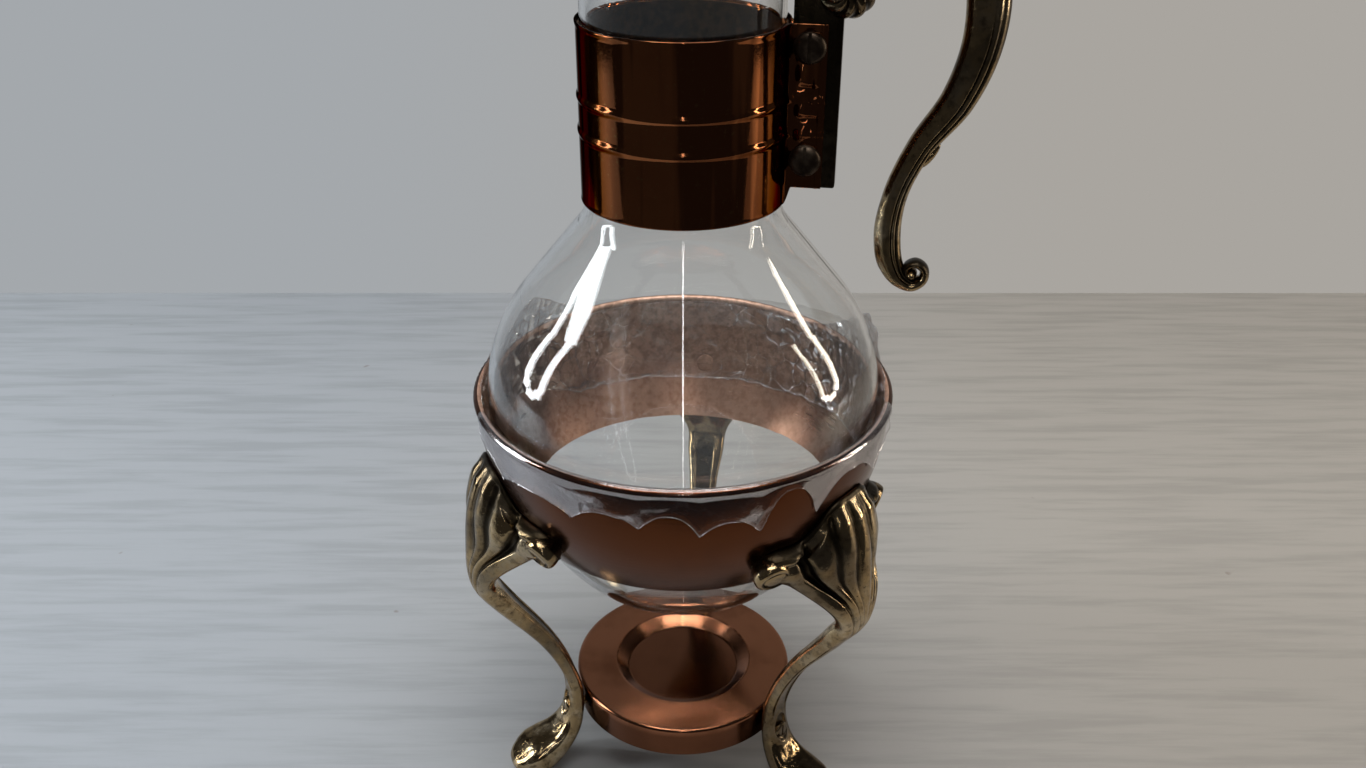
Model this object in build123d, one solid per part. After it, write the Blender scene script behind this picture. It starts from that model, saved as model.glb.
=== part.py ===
from build123d import *
import math
import os

# A glass carafe with a copper neck band and a brass handle, on a copper and brass warming stand.
# Lengths are millimetres and angles degrees. Z is up from the table, and the Z axis is the common
# axis of the bowl, the dish and the glass. The handle points to +X, turned a little towards -Y.

# Bowl of the stand: a spun copper wall with a rolled rim and an open bottom.
bowl_wall_radius = 75.0
bowl_curve_radius = 84.3
bowl_rim_height = 165.0
bowl_widest_drop = 1.8
bowl_depth = 48.4
bowl_sheet = 0.8
rim_bead_radius = 1.5

# Three cast legs. Drops are measured down from the bowl's rim.
leg_azimuths = {"leg_left": 202.0, "leg_right": 319.5, "leg_back": 82.0}
knee_half_angle = 26.5
knee_rib_count = 9
knee_rib_radius = 5.4
knee_shoulder_drop = 31.5
knee_tip_rise = 13.0
knee_tip_spread = 12.0
knee_bulge = 9.6
knee_bulge_drop = 52.0
knee_backing = 2.4
neck_bulge = 4.6
neck_drop = 68.0
volute_radius = 7.2
volute_drop = 39.0
volute_depth = 6.5
ankle_gap = 3.8
ankle_rise = 0.8
foot_length = 23.6
toe_radius = 4.4
toe_height = 3.6

# Candle dish, an upside-down shallow pan held by the three ankles.
dish_radius = 43.6
dish_top_height = 35.7
dish_skirt_depth = 12.2
dish_sheet = 0.8
dish_corner_radius = 1.4
well_lip_radius = 27.4
well_wall_run = 4.8
well_depth = 3.4

# Fasteners of the stand.
leg_screw_radius = 2.0
leg_screw_length = 9.0
leg_screw_head_radius = 3.6
leg_screw_head_height = 1.1
leg_screw_drop = 28.0
dish_screw_radius = 1.75
dish_screw_head_radius = 3.3
dish_screw_head_height = 1.9
dish_screw_drop = 9.1
dish_screw_tail = 5.4
counterbore_depth = 8.0
ankle_face_gap = 6.4
dish_nut_flats = 6.0
dish_nut_height = 2.4

# Clear film round the bowl.
film_thickness = 0.2
film_gap = 0.35
film_depth = 39.0
film_hem_depth = 12.5
film_fold_drop = 4.0
film_window_margin = 1.5
film_front_angle = 150.0

# Glass. Heights of the carafe's pieces are above the underside of its base.
glass_wall = 2.0
glass_belly_gap = 4.0
glass_belly_height = 75.0
glass_lower_curve = 105.0
glass_upper_curve = 62.5
glass_shoulder_slope = 39.0
glass_base_corner = 9.0
glass_neck_radius = 33.0
glass_neck_fillet = 14.0
glass_neck_bare = 7.2
glass_flare_length = 11.5
glass_flare = 1.2
spout_reach = 6.5
spout_tip_radius = 12.0
spout_drop = 3.0

# Neck band with two clamping ears. Reaches of the ears and the handle are measured out from the neck.
band_width = 58.8
band_sheet = 0.8
liner_thickness = 0.46
band_rib_places = (0.404, 0.596)
band_rib_height = 0.6
band_rib_width = 2.2
ear_azimuth = -10.0
ear_low_rise = 5.6
ear_length = 13.4
ear_screw_radius = 2.5
ear_screw_out = 7.8
ear_screw_margins = (9.4, 7.3)
ear_screw_head_radius = 5.25
ear_screw_head_height = 2.6
ear_nut_flats = 8.0
ear_nut_height = 3.5

# Handle.
tang_thickness = 4.0
tang_inner_out = 2.2
tang_outer_out = 17.8
head_out = 18.5
head_drop = 8.0
head_radius = 9.4
head_width = 15.0
handle_reach = 42.6
handle_drop = 95.7
scroll_radius = 5.3
scroll_width = 9.0
thorn_radius = 1.9

# Lid and its hinge.
hinge_out = 8.8
hinge_rise = 4.0
hinge_barrel_radius = 3.0
hinge_barrel_width = 6.0
hinge_pin_radius = 1.4
lug_radius = 3.9
lug_width = 2.6
lid_overhang = 3.4
lid_sheet = 0.8
lid_rim_width = 13.4
lid_dome_height = 11.5
lid_step_height = 2.5
lid_bead_radius = 1.1
collar_gap = 2.4
collar_depth = 7.0
leaf_width = 11.0
leaf_thickness = 1.5
leaf_length = 18.0
rivet_inset = 2.0
rivet_spread = 3.2
rivet_radius = 1.2
rivet_head_radius = 2.1
rivet_head_height = 0.9
thumb_rest_length = 13.0
thumb_rest_tilt = 8.0
thumb_rest_width = 12.0
thumb_rest_thickness = 1.8
knob_height = 18.0
knob_radius = 6.4
knob_foot_radius = 6.2
knob_waist_radius = 2.9
knob_tip_radius = 1.6
knob_screw_radius = 1.5
knob_screw_length = 8.0
knob_screw_head_radius = 3.2
knob_screw_head_height = 1.4

# Clearances between pieces.
running_clearance = 0.05
seat_clearance = 0.02
bowl_seat_clearance = 0.06
flat_head_clearance = 0.14
lid_seat_gap = 0.25
lug_clearance = 0.2

# Places on the stand that follow from the sizes above.
bowl_widest_height = bowl_rim_height - bowl_widest_drop
bowl_foot_height = bowl_rim_height - bowl_depth
knee_shoulder_height = bowl_rim_height - knee_shoulder_drop
knee_tip_height = knee_shoulder_height + knee_tip_rise
knee_bulge_radius = bowl_wall_radius + knee_bulge
knee_bulge_height = bowl_rim_height - knee_bulge_drop
neck_radius = bowl_wall_radius + neck_bulge
neck_height = bowl_rim_height - neck_drop
volute_height = bowl_rim_height - volute_drop
leg_screw_height = bowl_rim_height - leg_screw_drop
ankle_reach = dish_radius + ankle_gap
ankle_height = dish_top_height + ankle_rise
dish_screw_height = dish_top_height - dish_screw_drop
film_low_height = bowl_rim_height - film_depth
film_skirt_height = bowl_rim_height - film_hem_depth

# Places on the carafe that follow from them.
glass_belly_radius = bowl_wall_radius - glass_belly_gap
shoulder_angle = math.radians(glass_shoulder_slope)
shoulder_radius = glass_belly_radius - glass_upper_curve * (1 - math.cos(shoulder_angle))
fillet_end_radius = glass_neck_radius + glass_neck_fillet * (1 - math.cos(shoulder_angle))
shoulder_rise = (shoulder_radius - fillet_end_radius) / math.tan(shoulder_angle)
curves_rise = (glass_upper_curve + glass_neck_fillet) * math.sin(shoulder_angle)
band_low_height = glass_belly_height + curves_rise + shoulder_rise
band_high_height = band_low_height + band_width
ear_low_height = band_low_height + ear_low_rise
ear_screw_heights = (ear_low_height + ear_screw_margins[0], band_high_height - ear_screw_margins[1])
glass_flare_start = band_high_height + glass_neck_bare
glass_rim_height = glass_flare_start + glass_flare_length
ear_reach = glass_neck_radius + ear_length
ear_screw_reach = glass_neck_radius + ear_screw_out
tang_start = glass_neck_radius + tang_inner_out
tang_reach = glass_neck_radius + tang_outer_out
head_reach = glass_neck_radius + head_out
head_height = glass_rim_height - head_drop
hinge_reach = glass_neck_radius + hinge_out
hinge_height = glass_rim_height + hinge_rise
lid_radius = glass_neck_radius + lid_overhang
lid_step_radius = lid_radius - lid_rim_width
collar_radius = glass_neck_radius - glass_wall - collar_gap
leaf_inner_reach = hinge_reach - leaf_length
rivet_reach = leaf_inner_reach + rivet_inset


def arc_radius(height, widest_radius, curve_radius, widest_height):
    """Radius, at a height, of a wall whose section is one arc with its widest point given."""
    drop = height - widest_height
    return widest_radius - curve_radius + math.sqrt(curve_radius**2 - drop**2)


def bowl_radius(height, offset=0.0):
    """Radius of the bowl's outer wall, moved outwards by offset along the wall's normal."""
    return arc_radius(height, bowl_wall_radius + offset, bowl_curve_radius + offset, bowl_widest_height)


def carafe_seat():
    """Height of the glass base above the table when the glass rests on the bowl's lower edge."""
    contact = bowl_radius(bowl_foot_height, -bowl_sheet) - bowl_seat_clearance
    across_curve = contact - glass_belly_radius + glass_lower_curve
    drop = math.sqrt(glass_lower_curve**2 - across_curve**2)
    return bowl_foot_height + drop - glass_belly_height


def turned(face):
    """Solid of revolution of a face drawn in the XZ plane."""
    return revolve(Plane.XZ * face, axis=Axis.Z)


def bowl_band(inner_offset, outer_offset, low, high):
    """Face between two copies of the bowl's wall arc, from one height to another."""
    middle = (low + high) / 2
    outer = ThreePointArc(
        (bowl_radius(low, outer_offset), low),
        (bowl_radius(middle, outer_offset), middle),
        (bowl_radius(high, outer_offset), high),
    )
    inner = ThreePointArc(
        (bowl_radius(low, inner_offset), low),
        (bowl_radius(middle, inner_offset), middle),
        (bowl_radius(high, inner_offset), high),
    )
    foot = Line(inner @ 0, outer @ 0)
    top = Line(inner @ 1, outer @ 1)
    return make_face(outer + inner + foot + top)


def across(plane_azimuth):
    """Frame turned about Z, with X radial, Y along the circle and Z up."""
    return Rot(0, 0, plane_azimuth)


def y_cylinder(x, z, radius, low, high):
    """Cylinder along Y at a place in the XZ plane."""
    middle = (low + high) / 2
    return Pos(x, middle, z) * Rot(90, 0, 0) * Cylinder(radius, high - low)


def tapered_bar(stations):
    """Loft of ellipses along a path in the XZ plane: x, z, depth in the plane and width across it."""
    sections = []
    last = len(stations) - 1
    for index, (x, z, depth, width) in enumerate(stations):
        before = stations[max(index - 1, 0)]
        after = stations[min(index + 1, last)]
        heading = Vector(after[0] - before[0], 0, after[1] - before[1])
        plane = Plane(origin=(x, 0, z), x_dir=(0, 1, 0), z_dir=heading)
        sections.append(plane * Ellipse(width / 2, depth / 2))
    return loft(sections)


def round_bar(points, radii):
    """Loft of circles along points in space."""
    sections = []
    last = len(points) - 1
    for index, point in enumerate(points):
        before = points[max(index - 1, 0)]
        after = points[min(index + 1, last)]
        heading = after - before
        sideways = heading.cross(Vector(point.X, point.Y, 0))
        plane = Plane(origin=point, x_dir=sideways, z_dir=heading)
        sections.append(plane * Circle(radii[index]))
    return loft(sections)


def on_circle(azimuth, radius, height):
    """Point at an azimuth and radius about the Z axis."""
    angle = math.radians(azimuth)
    return Vector(radius * math.cos(angle), radius * math.sin(angle), height)


def bowl_normal_frame(height):
    """Frame on the bowl's outer wall at azimuth 0, with Z along the outward normal."""
    centre_radius = bowl_wall_radius - bowl_curve_radius
    normal = Vector(bowl_radius(height) - centre_radius, 0, height - bowl_widest_height)
    return Plane(origin=(bowl_radius(height), 0, height), x_dir=(0, 1, 0), z_dir=normal)


def support_bowl():
    wall = turned(bowl_band(-bowl_sheet, 0, bowl_foot_height, bowl_rim_height))
    bead_centre = bowl_wall_radius - bowl_sheet / 2
    bead = turned(Pos(bead_centre, bowl_rim_height) * Circle(rim_bead_radius))
    bowl = wall + bead
    for azimuth in leg_azimuths.values():
        bowl -= across(azimuth) * leg_screw_hole()
    return bowl


def leg_screw_hole():
    """Through hole of one leg screw, at azimuth 0."""
    frame = bowl_normal_frame(leg_screw_height)
    depth = leg_screw_length + bowl_sheet
    middle = Pos(0, 0, depth / 2 - 2 * bowl_sheet)
    return frame * middle * Cylinder(leg_screw_radius + running_clearance, depth + bowl_sheet)


def leg_screw():
    """Low headed screw from inside the bowl into the knee, at azimuth 0."""
    frame = bowl_normal_frame(leg_screw_height)
    seat = -bowl_sheet - flat_head_clearance
    head = Cylinder(leg_screw_head_radius, leg_screw_head_height)
    head = Pos(0, 0, seat - leg_screw_head_height / 2) * head
    head = fillet(head.edges().sort_by(Axis.Z)[0], leg_screw_head_height * 0.7)
    slot = Pos(0, 0, seat - leg_screw_head_height) * Box(leg_screw_head_radius * 3, 0.8, 0.9)
    shank_top = leg_screw_length - 2.5 * bowl_sheet
    shank = Pos(0, 0, (shank_top + seat) / 2) * Cylinder(leg_screw_radius, shank_top - seat)
    return frame * (head - slot + shank)


def knee_top_height(azimuth):
    """Height of the knee's upper edge on the bowl, by angle from the leg's middle plane."""
    peak = math.exp(-((azimuth / knee_tip_spread) ** 4))
    return knee_shoulder_height + (knee_tip_height - knee_shoulder_height) * peak


def knee_rib(azimuth):
    """One rib of the shell, from the neck up to the bowl."""
    end_height = knee_top_height(azimuth) - 0.8 * knee_rib_radius
    spread = abs(azimuth) / knee_half_angle
    bulge = knee_bulge_radius - knee_rib_radius
    start = on_circle(azimuth * 0.04, neck_radius, neck_height - 3)
    waist_height = neck_height + (knee_bulge_height - neck_height) / 2
    waist = on_circle(azimuth * 0.22, bulge + 0.4 - 1.2 * spread, waist_height)
    belly_height = knee_bulge_height + 2 + 3 * spread
    belly_radius = bulge - (bulge - bowl_radius(belly_height) - 4.5) * 0.62 * spread
    belly = on_circle(azimuth * 0.55, belly_radius, belly_height)
    neck_of_rib = (end_height * 2 + belly_height) / 3
    high_radius = bowl_radius(neck_of_rib) + 4.2 + 2.2 * (1 - spread)
    high = on_circle(azimuth * 0.88, high_radius, neck_of_rib)
    end = on_circle(azimuth, bowl_radius(end_height) + 1.2, end_height)
    shares = (0.75, 0.92, 1, 0.98, 0.85)
    return round_bar([start, waist, belly, high, end], [share * knee_rib_radius for share in shares])


def volute(side):
    """Round boss at the end of the knee's edge, standing off the bowl."""
    frame = bowl_normal_frame(volute_height)
    boss = Pos(0, 0, volute_depth / 2) * Cylinder(volute_radius, volute_depth + 2)
    boss = fillet(boss.edges().sort_by(Axis.Z)[-1], 1.6)
    eye = Pos(0, 0, volute_depth / 2 + 1) * Cylinder(volute_radius * 0.5, 1.2)
    boss -= Pos(0, 0, volute_depth / 2) * eye
    return Rot(0, 0, side * (knee_half_angle + 0.5)) * (frame * boss)


def shank_stations():
    """Sections from the neck down to the ankle, placed by their share of the way up from the ankle."""
    stations = [(neck_radius + 0.6, neck_height + 7, 9.0, 20.0)]
    for reach_share, height_share, depth, width in (
        (1.0, 1.0, 9.0, 16.5),
        (0.863, 0.868, 8.0, 14.0),
        (0.68, 0.727, 7.2, 11.8),
        (0.491, 0.592, 6.8, 10.6),
        (0.317, 0.451, 6.4, 10.2),
        (0.171, 0.299, 6.0, 10.2),
        (0.062, 0.147, 5.8, 10.4),
        (0.0, 0.0, 5.8, 11.0),
    ):
        reach = ankle_reach + reach_share * (neck_radius - ankle_reach)
        height = ankle_height + height_share * (neck_height - ankle_height)
        stations.append((reach, height, depth, width))
    return stations


def foot_stations():
    """Sections from the ankle to the toe, placed by their share of the foot and of the ankle's height."""
    stations = []
    for reach_share, height_share, depth, width in (
        (-0.013, 0.781, 6.4, 12.0),
        (0.064, 0.562, 8.0, 13.5),
        (0.246, 0.384, 10.0, 16.0),
        (0.525, 0.252, 13.5, 19.0),
        (0.788, 0.164, 15.5, 19.5),
        (1.0, 0.099, 10.5, 14.0),
    ):
        reach = ankle_reach + reach_share * foot_length
        stations.append((reach, height_share * ankle_height, depth, width))
    return stations


def leg_blank():
    """One leg at azimuth 0: ribbed knee, S-shaped shank and spoon foot, cut to fit bowl and dish."""
    shank = tapered_bar(shank_stations() + foot_stations())
    toe = Pos(ankle_reach + foot_length - 0.6, 0, toe_height) * Sphere(toe_radius)
    leg = shank + toe
    step = 2 * knee_half_angle / (knee_rib_count - 1)
    for index in range(knee_rib_count):
        leg += knee_rib(-knee_half_angle + index * step)
    leg += knee_backing_plate()
    leg += volute(-1)
    leg += volute(1)
    leg -= bowl_filled()
    leg -= dish_filled()
    leg -= leg_screw_hole()
    leg -= dish_screw_hole()
    below = Box(2 * bowl_wall_radius, bowl_wall_radius, bowl_wall_radius)
    return leg - Pos(bowl_wall_radius, 0, -bowl_wall_radius / 2) * below


def knee_backing_plate():
    """Plate behind the ribs that lies on the bowl's wall."""
    low = volute_height - 4
    plate = Plane.XZ * bowl_band(-0.4, knee_backing, low, knee_shoulder_height)
    return Rot(0, 0, -knee_half_angle) * revolve(plate, axis=Axis.Z, revolution_arc=2 * knee_half_angle)


def bowl_filled():
    """Everything inside the bowl's outer wall, with the seat clearance added."""
    low = bowl_foot_height - 1.5
    high = bowl_rim_height - 1
    wall = bowl_band(-4, seat_clearance, low, high)
    inside = bowl_radius(low, -2)
    core = Pos(inside / 2, (low + high) / 2) * Rectangle(inside, high - low)
    return turned(wall) + turned(core)


def dish_filled():
    """Cylinder of the dish's skirt, with the seat clearance added."""
    low = dish_top_height - dish_skirt_depth - 1
    high = dish_top_height + 1
    return Pos(0, 0, (low + high) / 2) * Cylinder(dish_radius + seat_clearance, high - low)


def dish_profile(inset, low):
    """Section of the pressed dish, inset by the sheet or not."""
    radius = dish_radius - inset
    top = dish_top_height - inset
    floor = top - well_depth
    corner = dish_corner_radius - inset * 0.9
    outline = FilletPolyline(
        (0, floor),
        (well_lip_radius - well_wall_run - inset * 0.4, floor),
        (well_lip_radius - inset * 0.4, top),
        (radius, top),
        (radius, low),
        radius=[1.6, 1.2, corner],
    )
    closing = Polyline(outline @ 1, (0, low), outline @ 0)
    return make_face(outline + closing)


def candle_dish():
    low = dish_top_height - dish_skirt_depth
    dish = turned(dish_profile(0, low)) - turned(dish_profile(dish_sheet, low - 1))
    for azimuth in leg_azimuths.values():
        dish -= across(azimuth) * dish_screw_hole()
    return dish


def ankle_face_reach():
    """Radius of the flat face on the ankle that the dish screw's head sits on."""
    return dish_radius + ankle_face_gap


def dish_screw_hole():
    low = dish_radius - dish_screw_tail
    high = ankle_face_reach() + counterbore_depth
    bore = Cylinder(dish_screw_radius + running_clearance, high - low)
    counterbore = Cylinder(dish_screw_head_radius + 0.4, counterbore_depth)
    bore = Pos((low + high) / 2, 0, dish_screw_height) * Rot(0, 90, 0) * bore
    face_middle = ankle_face_reach() + counterbore_depth / 2
    face = Pos(face_middle, 0, dish_screw_height) * Rot(0, 90, 0) * counterbore
    return bore + face


def dish_screw():
    """Round headed screw through the ankle and the skirt, at azimuth 0."""
    head_low = ankle_face_reach() + seat_clearance
    head = Cylinder(dish_screw_head_radius, dish_screw_head_height)
    head = fillet(head.edges().sort_by(Axis.Z)[-1], dish_screw_head_height * 0.6)
    head -= Pos(0, 0, dish_screw_head_height / 2) * Box(dish_screw_head_radius * 3, 0.9, 1.4)
    head = Pos(head_low + dish_screw_head_height / 2, 0, dish_screw_height) * Rot(0, 90, 0) * head
    tip = dish_radius - dish_screw_tail
    length = head_low + 0.1 - tip
    shank = Pos(tip + length / 2, 0, dish_screw_height) * Rot(0, 90, 0) * Cylinder(dish_screw_radius, length)
    return head + shank


def hex_nut(flats, height, bore_radius):
    """Hexagon nut standing on z = 0."""
    body = extrude(RegularPolygon(flats / 2, 6, major_radius=False), height)
    return body - Pos(0, 0, height / 2) * Cylinder(bore_radius, height + 1)


def dish_nut():
    nut = hex_nut(dish_nut_flats, dish_nut_height, dish_screw_radius + running_clearance)
    sagitta = dish_radius - math.sqrt(dish_radius**2 - (0.58 * dish_nut_flats) ** 2)
    reach = dish_radius - dish_sheet - sagitta - seat_clearance
    return Pos(reach - dish_nut_height, 0, dish_screw_height) * Rot(0, 90, 0) * nut


def film_side(offset, skin_top):
    """One side of the folded film's section, at an offset from the bowl's surface."""
    bead_centre = bowl_wall_radius - bowl_sheet / 2
    fold = rim_bead_radius + offset
    start = (bowl_radius(skin_top, -bowl_sheet - offset), skin_top)
    inner = (bead_centre - fold, bowl_rim_height)
    over = (bead_centre, bowl_rim_height + fold)
    outer = (bead_centre + fold, bowl_rim_height)
    low = (bowl_radius(film_skirt_height, offset + 0.4), film_skirt_height)
    return Line(start, inner) + ThreePointArc(inner, over, outer) + Line(outer, low)


def protective_film():
    """Clear film inside the bowl, folded over the front half of the rim."""
    skin_top = bowl_rim_height - film_fold_drop
    near = -bowl_sheet - film_gap
    film = turned(bowl_band(near - film_thickness, near, film_low_height, skin_top))
    side = film_side(film_gap, skin_top)
    far_side = film_side(film_gap + film_thickness, skin_top)
    ends = Line(side @ 0, far_side @ 0) + Line(side @ 1, far_side @ 1)
    hem = Plane.XZ * make_face(side + far_side + ends)
    film += Rot(0, 0, -90 - film_front_angle / 2) * revolve(hem, axis=Axis.Z, revolution_arc=film_front_angle)
    for azimuth in leg_azimuths.values():
        window = Cylinder(leg_screw_head_radius + film_window_margin, counterbore_depth)
        window = bowl_normal_frame(leg_screw_height) * window
        film -= across(azimuth) * window
    return film


def glass_outline(inset):
    """Outer outline of the glass from the middle of its base to its neck, inset by the wall or not."""
    belly = glass_belly_radius - inset
    base = inset
    lower = glass_lower_curve - inset
    upper = glass_upper_curve - inset
    corner = glass_base_corner - inset
    low_centre = Vector(glass_belly_radius - glass_lower_curve, glass_belly_height)
    corner_height = base + corner
    reach = math.sqrt((lower - corner) ** 2 - (corner_height - low_centre.Y) ** 2)
    corner_centre = Vector(low_centre.X + reach, corner_height)
    away = (corner_centre - low_centre).normalized()
    join = corner_centre + away * corner
    middle = (away + Vector(0, -1)).normalized() * corner + corner_centre
    corner_start = Vector(corner_centre.X, base)
    low_middle_height = (join.Y + glass_belly_height) / 2
    low_middle = Vector(arc_radius(low_middle_height, belly, lower, glass_belly_height), low_middle_height)
    slope = math.radians(glass_shoulder_slope)
    upper_centre = Vector(belly - upper, glass_belly_height)
    shoulder = upper_centre + Vector(math.cos(slope), math.sin(slope)) * upper
    half = upper_centre + Vector(math.cos(slope / 2), math.sin(slope / 2)) * upper
    neck = glass_neck_radius - inset
    fillet_radius = glass_neck_fillet + inset
    fillet_end_radius = neck + fillet_radius * (1 - math.cos(slope))
    rise = (shoulder.X - fillet_end_radius) / math.tan(slope)
    fillet_end = Vector(fillet_end_radius, shoulder.Y + rise)
    fillet_centre = Vector(neck + fillet_radius, fillet_end.Y + fillet_radius * math.sin(slope))
    fillet_half = fillet_centre - Vector(math.cos(slope / 2), math.sin(slope / 2)) * fillet_radius
    neck_start = Vector(neck, fillet_centre.Y)
    belly_point = Vector(belly, glass_belly_height)
    return (
        Line((0, base), corner_start)
        + ThreePointArc(corner_start, middle, join)
        + ThreePointArc(join, low_middle, belly_point)
        + ThreePointArc(belly_point, half, shoulder)
        + Line(shoulder, fillet_end)
        + ThreePointArc(fillet_end, fillet_half, neck_start)
        + Line(neck_start, (neck, glass_flare_start))
        + ThreePointArc(
            (neck, glass_flare_start),
            (neck + glass_flare * 0.25, (glass_flare_start + glass_rim_height) / 2),
            (neck + glass_flare, glass_rim_height),
        )
    )


def glass_body(inset):
    """Solid inside the glass outline, up to its rim."""
    outline = glass_outline(inset)
    rim = (0, glass_rim_height)
    return turned(make_face(outline + Polyline(outline @ 1, rim, (0, inset))))


def spout(inset):
    """Beak of the glass mouth, opposite the handle, as a cone that leans outwards."""
    low = glass_flare_start - spout_drop + inset
    foot = Pos(-glass_neck_radius * 0.42, 0, low) * Circle(glass_neck_radius * 0.56 - inset)
    tip_x = spout_tip_radius - glass_neck_radius - spout_reach
    tip = Pos(tip_x, 0, glass_rim_height) * Circle(spout_tip_radius - inset)
    return Rot(0, 0, ear_azimuth) * loft([foot, tip])


def glass_carafe():
    outer = glass_body(0) + spout(0)
    return outer - glass_body(glass_wall) - spout(glass_wall)


def liner_outer_radius():
    return glass_neck_radius + seat_clearance + liner_thickness


def band_inner_radius():
    return liner_outer_radius() + seat_clearance


def ring(inner, outer, low, high):
    """Plain ring about Z."""
    section = Pos((inner + outer) / 2, (low + high) / 2) * Rectangle(outer - inner, high - low)
    return turned(section)


def band_liner():
    inner = glass_neck_radius + seat_clearance
    return ring(inner, liner_outer_radius(), band_low_height + 1, band_high_height - 1)


def ear_plate(side):
    """One ear of the band, a flat flange beside the tang, in the handle's frame."""
    inner = band_inner_radius() + 0.1
    length = ear_reach - inner
    height = band_high_height - ear_low_height
    offset = side * (tang_thickness / 2 + seat_clearance + band_sheet / 2)
    plate = Box(length, band_sheet, height)
    plate = fillet(plate.edges().filter_by(Axis.Y).group_by(Axis.X)[-1], 1.5)
    return Pos(inner + length / 2, offset, (band_high_height + ear_low_height) / 2) * plate


def neck_band():
    """Copper strip round the neck, with two raised ribs and its two ends bent out as ears."""
    inner = band_inner_radius()
    outer = inner + band_sheet
    band = ring(inner, outer, band_low_height, band_high_height)
    for place in band_rib_places:
        height = band_low_height + place * band_width
        rib = Pos(outer, height) * Ellipse(band_rib_height, band_rib_width / 2)
        rib = rib & Pos(outer + 2, height) * Rectangle(4.2, 4)
        band += turned(rib)
    gap = tang_thickness + 2 * seat_clearance
    slit = Pos(inner + 2, 0, (band_low_height + band_high_height) / 2)
    band = Rot(0, 0, -ear_azimuth) * band
    band -= slit * Box(8, gap, 2 * (band_high_height - band_low_height))
    for side in (-1, 1):
        band += ear_plate(side)
    for height in ear_screw_heights:
        band -= y_cylinder(ear_screw_reach, height, ear_screw_radius + running_clearance, -6, 6)
    return across(ear_azimuth) * band


def ear_screws():
    """Two domed slotted screws that clamp the ears on the tang."""
    face = tang_thickness / 2 + seat_clearance + band_sheet + seat_clearance
    tail = face + ear_nut_height + 1.2
    pieces = []
    for height in ear_screw_heights:
        head = Cylinder(ear_screw_head_radius, ear_screw_head_height)
        head = fillet(head.edges().sort_by(Axis.Z)[-1], ear_screw_head_height * 0.8)
        head -= Pos(0, 0, ear_screw_head_height / 2) * Box(1.1, ear_screw_head_radius * 3, 1.8)
        head = Pos(ear_screw_reach, -face - ear_screw_head_height / 2, height) * Rot(90, 0, 0) * head
        shank = y_cylinder(ear_screw_reach, height, ear_screw_radius, -face - 0.1, tail)
        pieces.append(across(ear_azimuth) * (head + shank))
    return Compound(children=pieces)


def ear_nuts():
    """Hexagon nuts behind the rear ear."""
    face = tang_thickness / 2 + seat_clearance + band_sheet + seat_clearance
    pieces = []
    for height in ear_screw_heights:
        nut = hex_nut(ear_nut_flats, ear_nut_height, ear_screw_radius + running_clearance)
        nut = Pos(ear_screw_reach, face, height) * Rot(-90, 0, 0) * nut
        pieces.append(across(ear_azimuth) * nut)
    return Compound(children=pieces)


def hinge_lug(side):
    """One of the two lugs that carry the lid's hinge pin."""
    inner = hinge_barrel_width / 2 + lug_clearance
    low = side * inner
    high = side * (inner + lug_width)
    eye = y_cylinder(hinge_reach, hinge_height, lug_radius, min(low, high), max(low, high))
    rise = hinge_height - head_height - 2
    post = Box(2 * lug_radius, lug_width, rise)
    return eye + Pos(hinge_reach, (low + high) / 2, hinge_height - rise / 2) * post


def on_handle(reach_share, drop_share):
    """Point of the handle, by its share of the reach and of the drop from the head's centre."""
    return head_reach + reach_share * handle_reach, head_height - drop_share * handle_drop


def handle_stations():
    """Sections of the arch and the tail, with their depth and width."""
    stations = [(head_reach + 1.5, head_height + 0.5, 13.0, 13.5)]
    for reach_share, drop_share, depth, width in (
        (0.246, -0.055, 12.6, 13.0),
        (0.425, -0.147, 12.6, 12.5),
        (0.636, -0.2, 12.8, 12.0),
        (0.843, -0.166, 13.2, 11.8),
        (0.965, -0.08, 13.6, 11.5),
        (1.0, 0.021, 13.8, 11.2),
        (0.979, 0.177, 12.8, 10.6),
        (0.857, 0.342, 11.4, 9.8),
        (0.608, 0.513, 8.8, 9.0),
        (0.448, 0.693, 8.2, 8.6),
        (0.415, 0.837, 9.2, 8.4),
        (0.458, 0.933, 8.8, 8.2),
        (0.547, 0.99, 6.6, 8.0),
        (0.64, 0.992, 3.6, 6.6),
    ):
        stations.append((*on_handle(reach_share, drop_share), depth, width))
    return stations


def handle():
    """Cast handle: tang, rounded head with hinge lugs, arch, tail and end scroll."""
    length = tang_reach - tang_start
    tang = Box(length, tang_thickness, head_height - ear_low_height)
    cast = Pos(tang_start + length / 2, 0, (head_height + ear_low_height) / 2) * tang
    head = Rot(90, 0, 0) * Cylinder(head_radius, head_width)
    head = fillet(head.edges(), 3.2)
    cast += Pos(head_reach, 0, head_height) * head
    cast += tapered_bar(handle_stations())
    scroll_reach, scroll_height = on_handle(0.617, 0.966)
    scroll = Rot(90, 0, 0) * Cylinder(scroll_radius, scroll_width)
    scroll = fillet(scroll.edges(), 2.0)
    cast += Pos(scroll_reach, 0, scroll_height) * scroll
    thorn_reach, thorn_height = on_handle(0.721, 0.521)
    cast += Pos(thorn_reach, 0, thorn_height) * Sphere(thorn_radius)
    for side in (-1, 1):
        cast += hinge_lug(side)
    cast -= barrel_space()
    pin_room = hinge_barrel_width + 2 * lug_width
    bore = hinge_pin_radius + running_clearance
    cast -= y_cylinder(hinge_reach, hinge_height, bore, -pin_room, pin_room)
    for height in ear_screw_heights:
        bore = ear_screw_radius + running_clearance
        cast -= y_cylinder(ear_screw_reach, height, bore, -1.5 * tang_thickness, 1.5 * tang_thickness)
    return across(ear_azimuth) * cast


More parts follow.
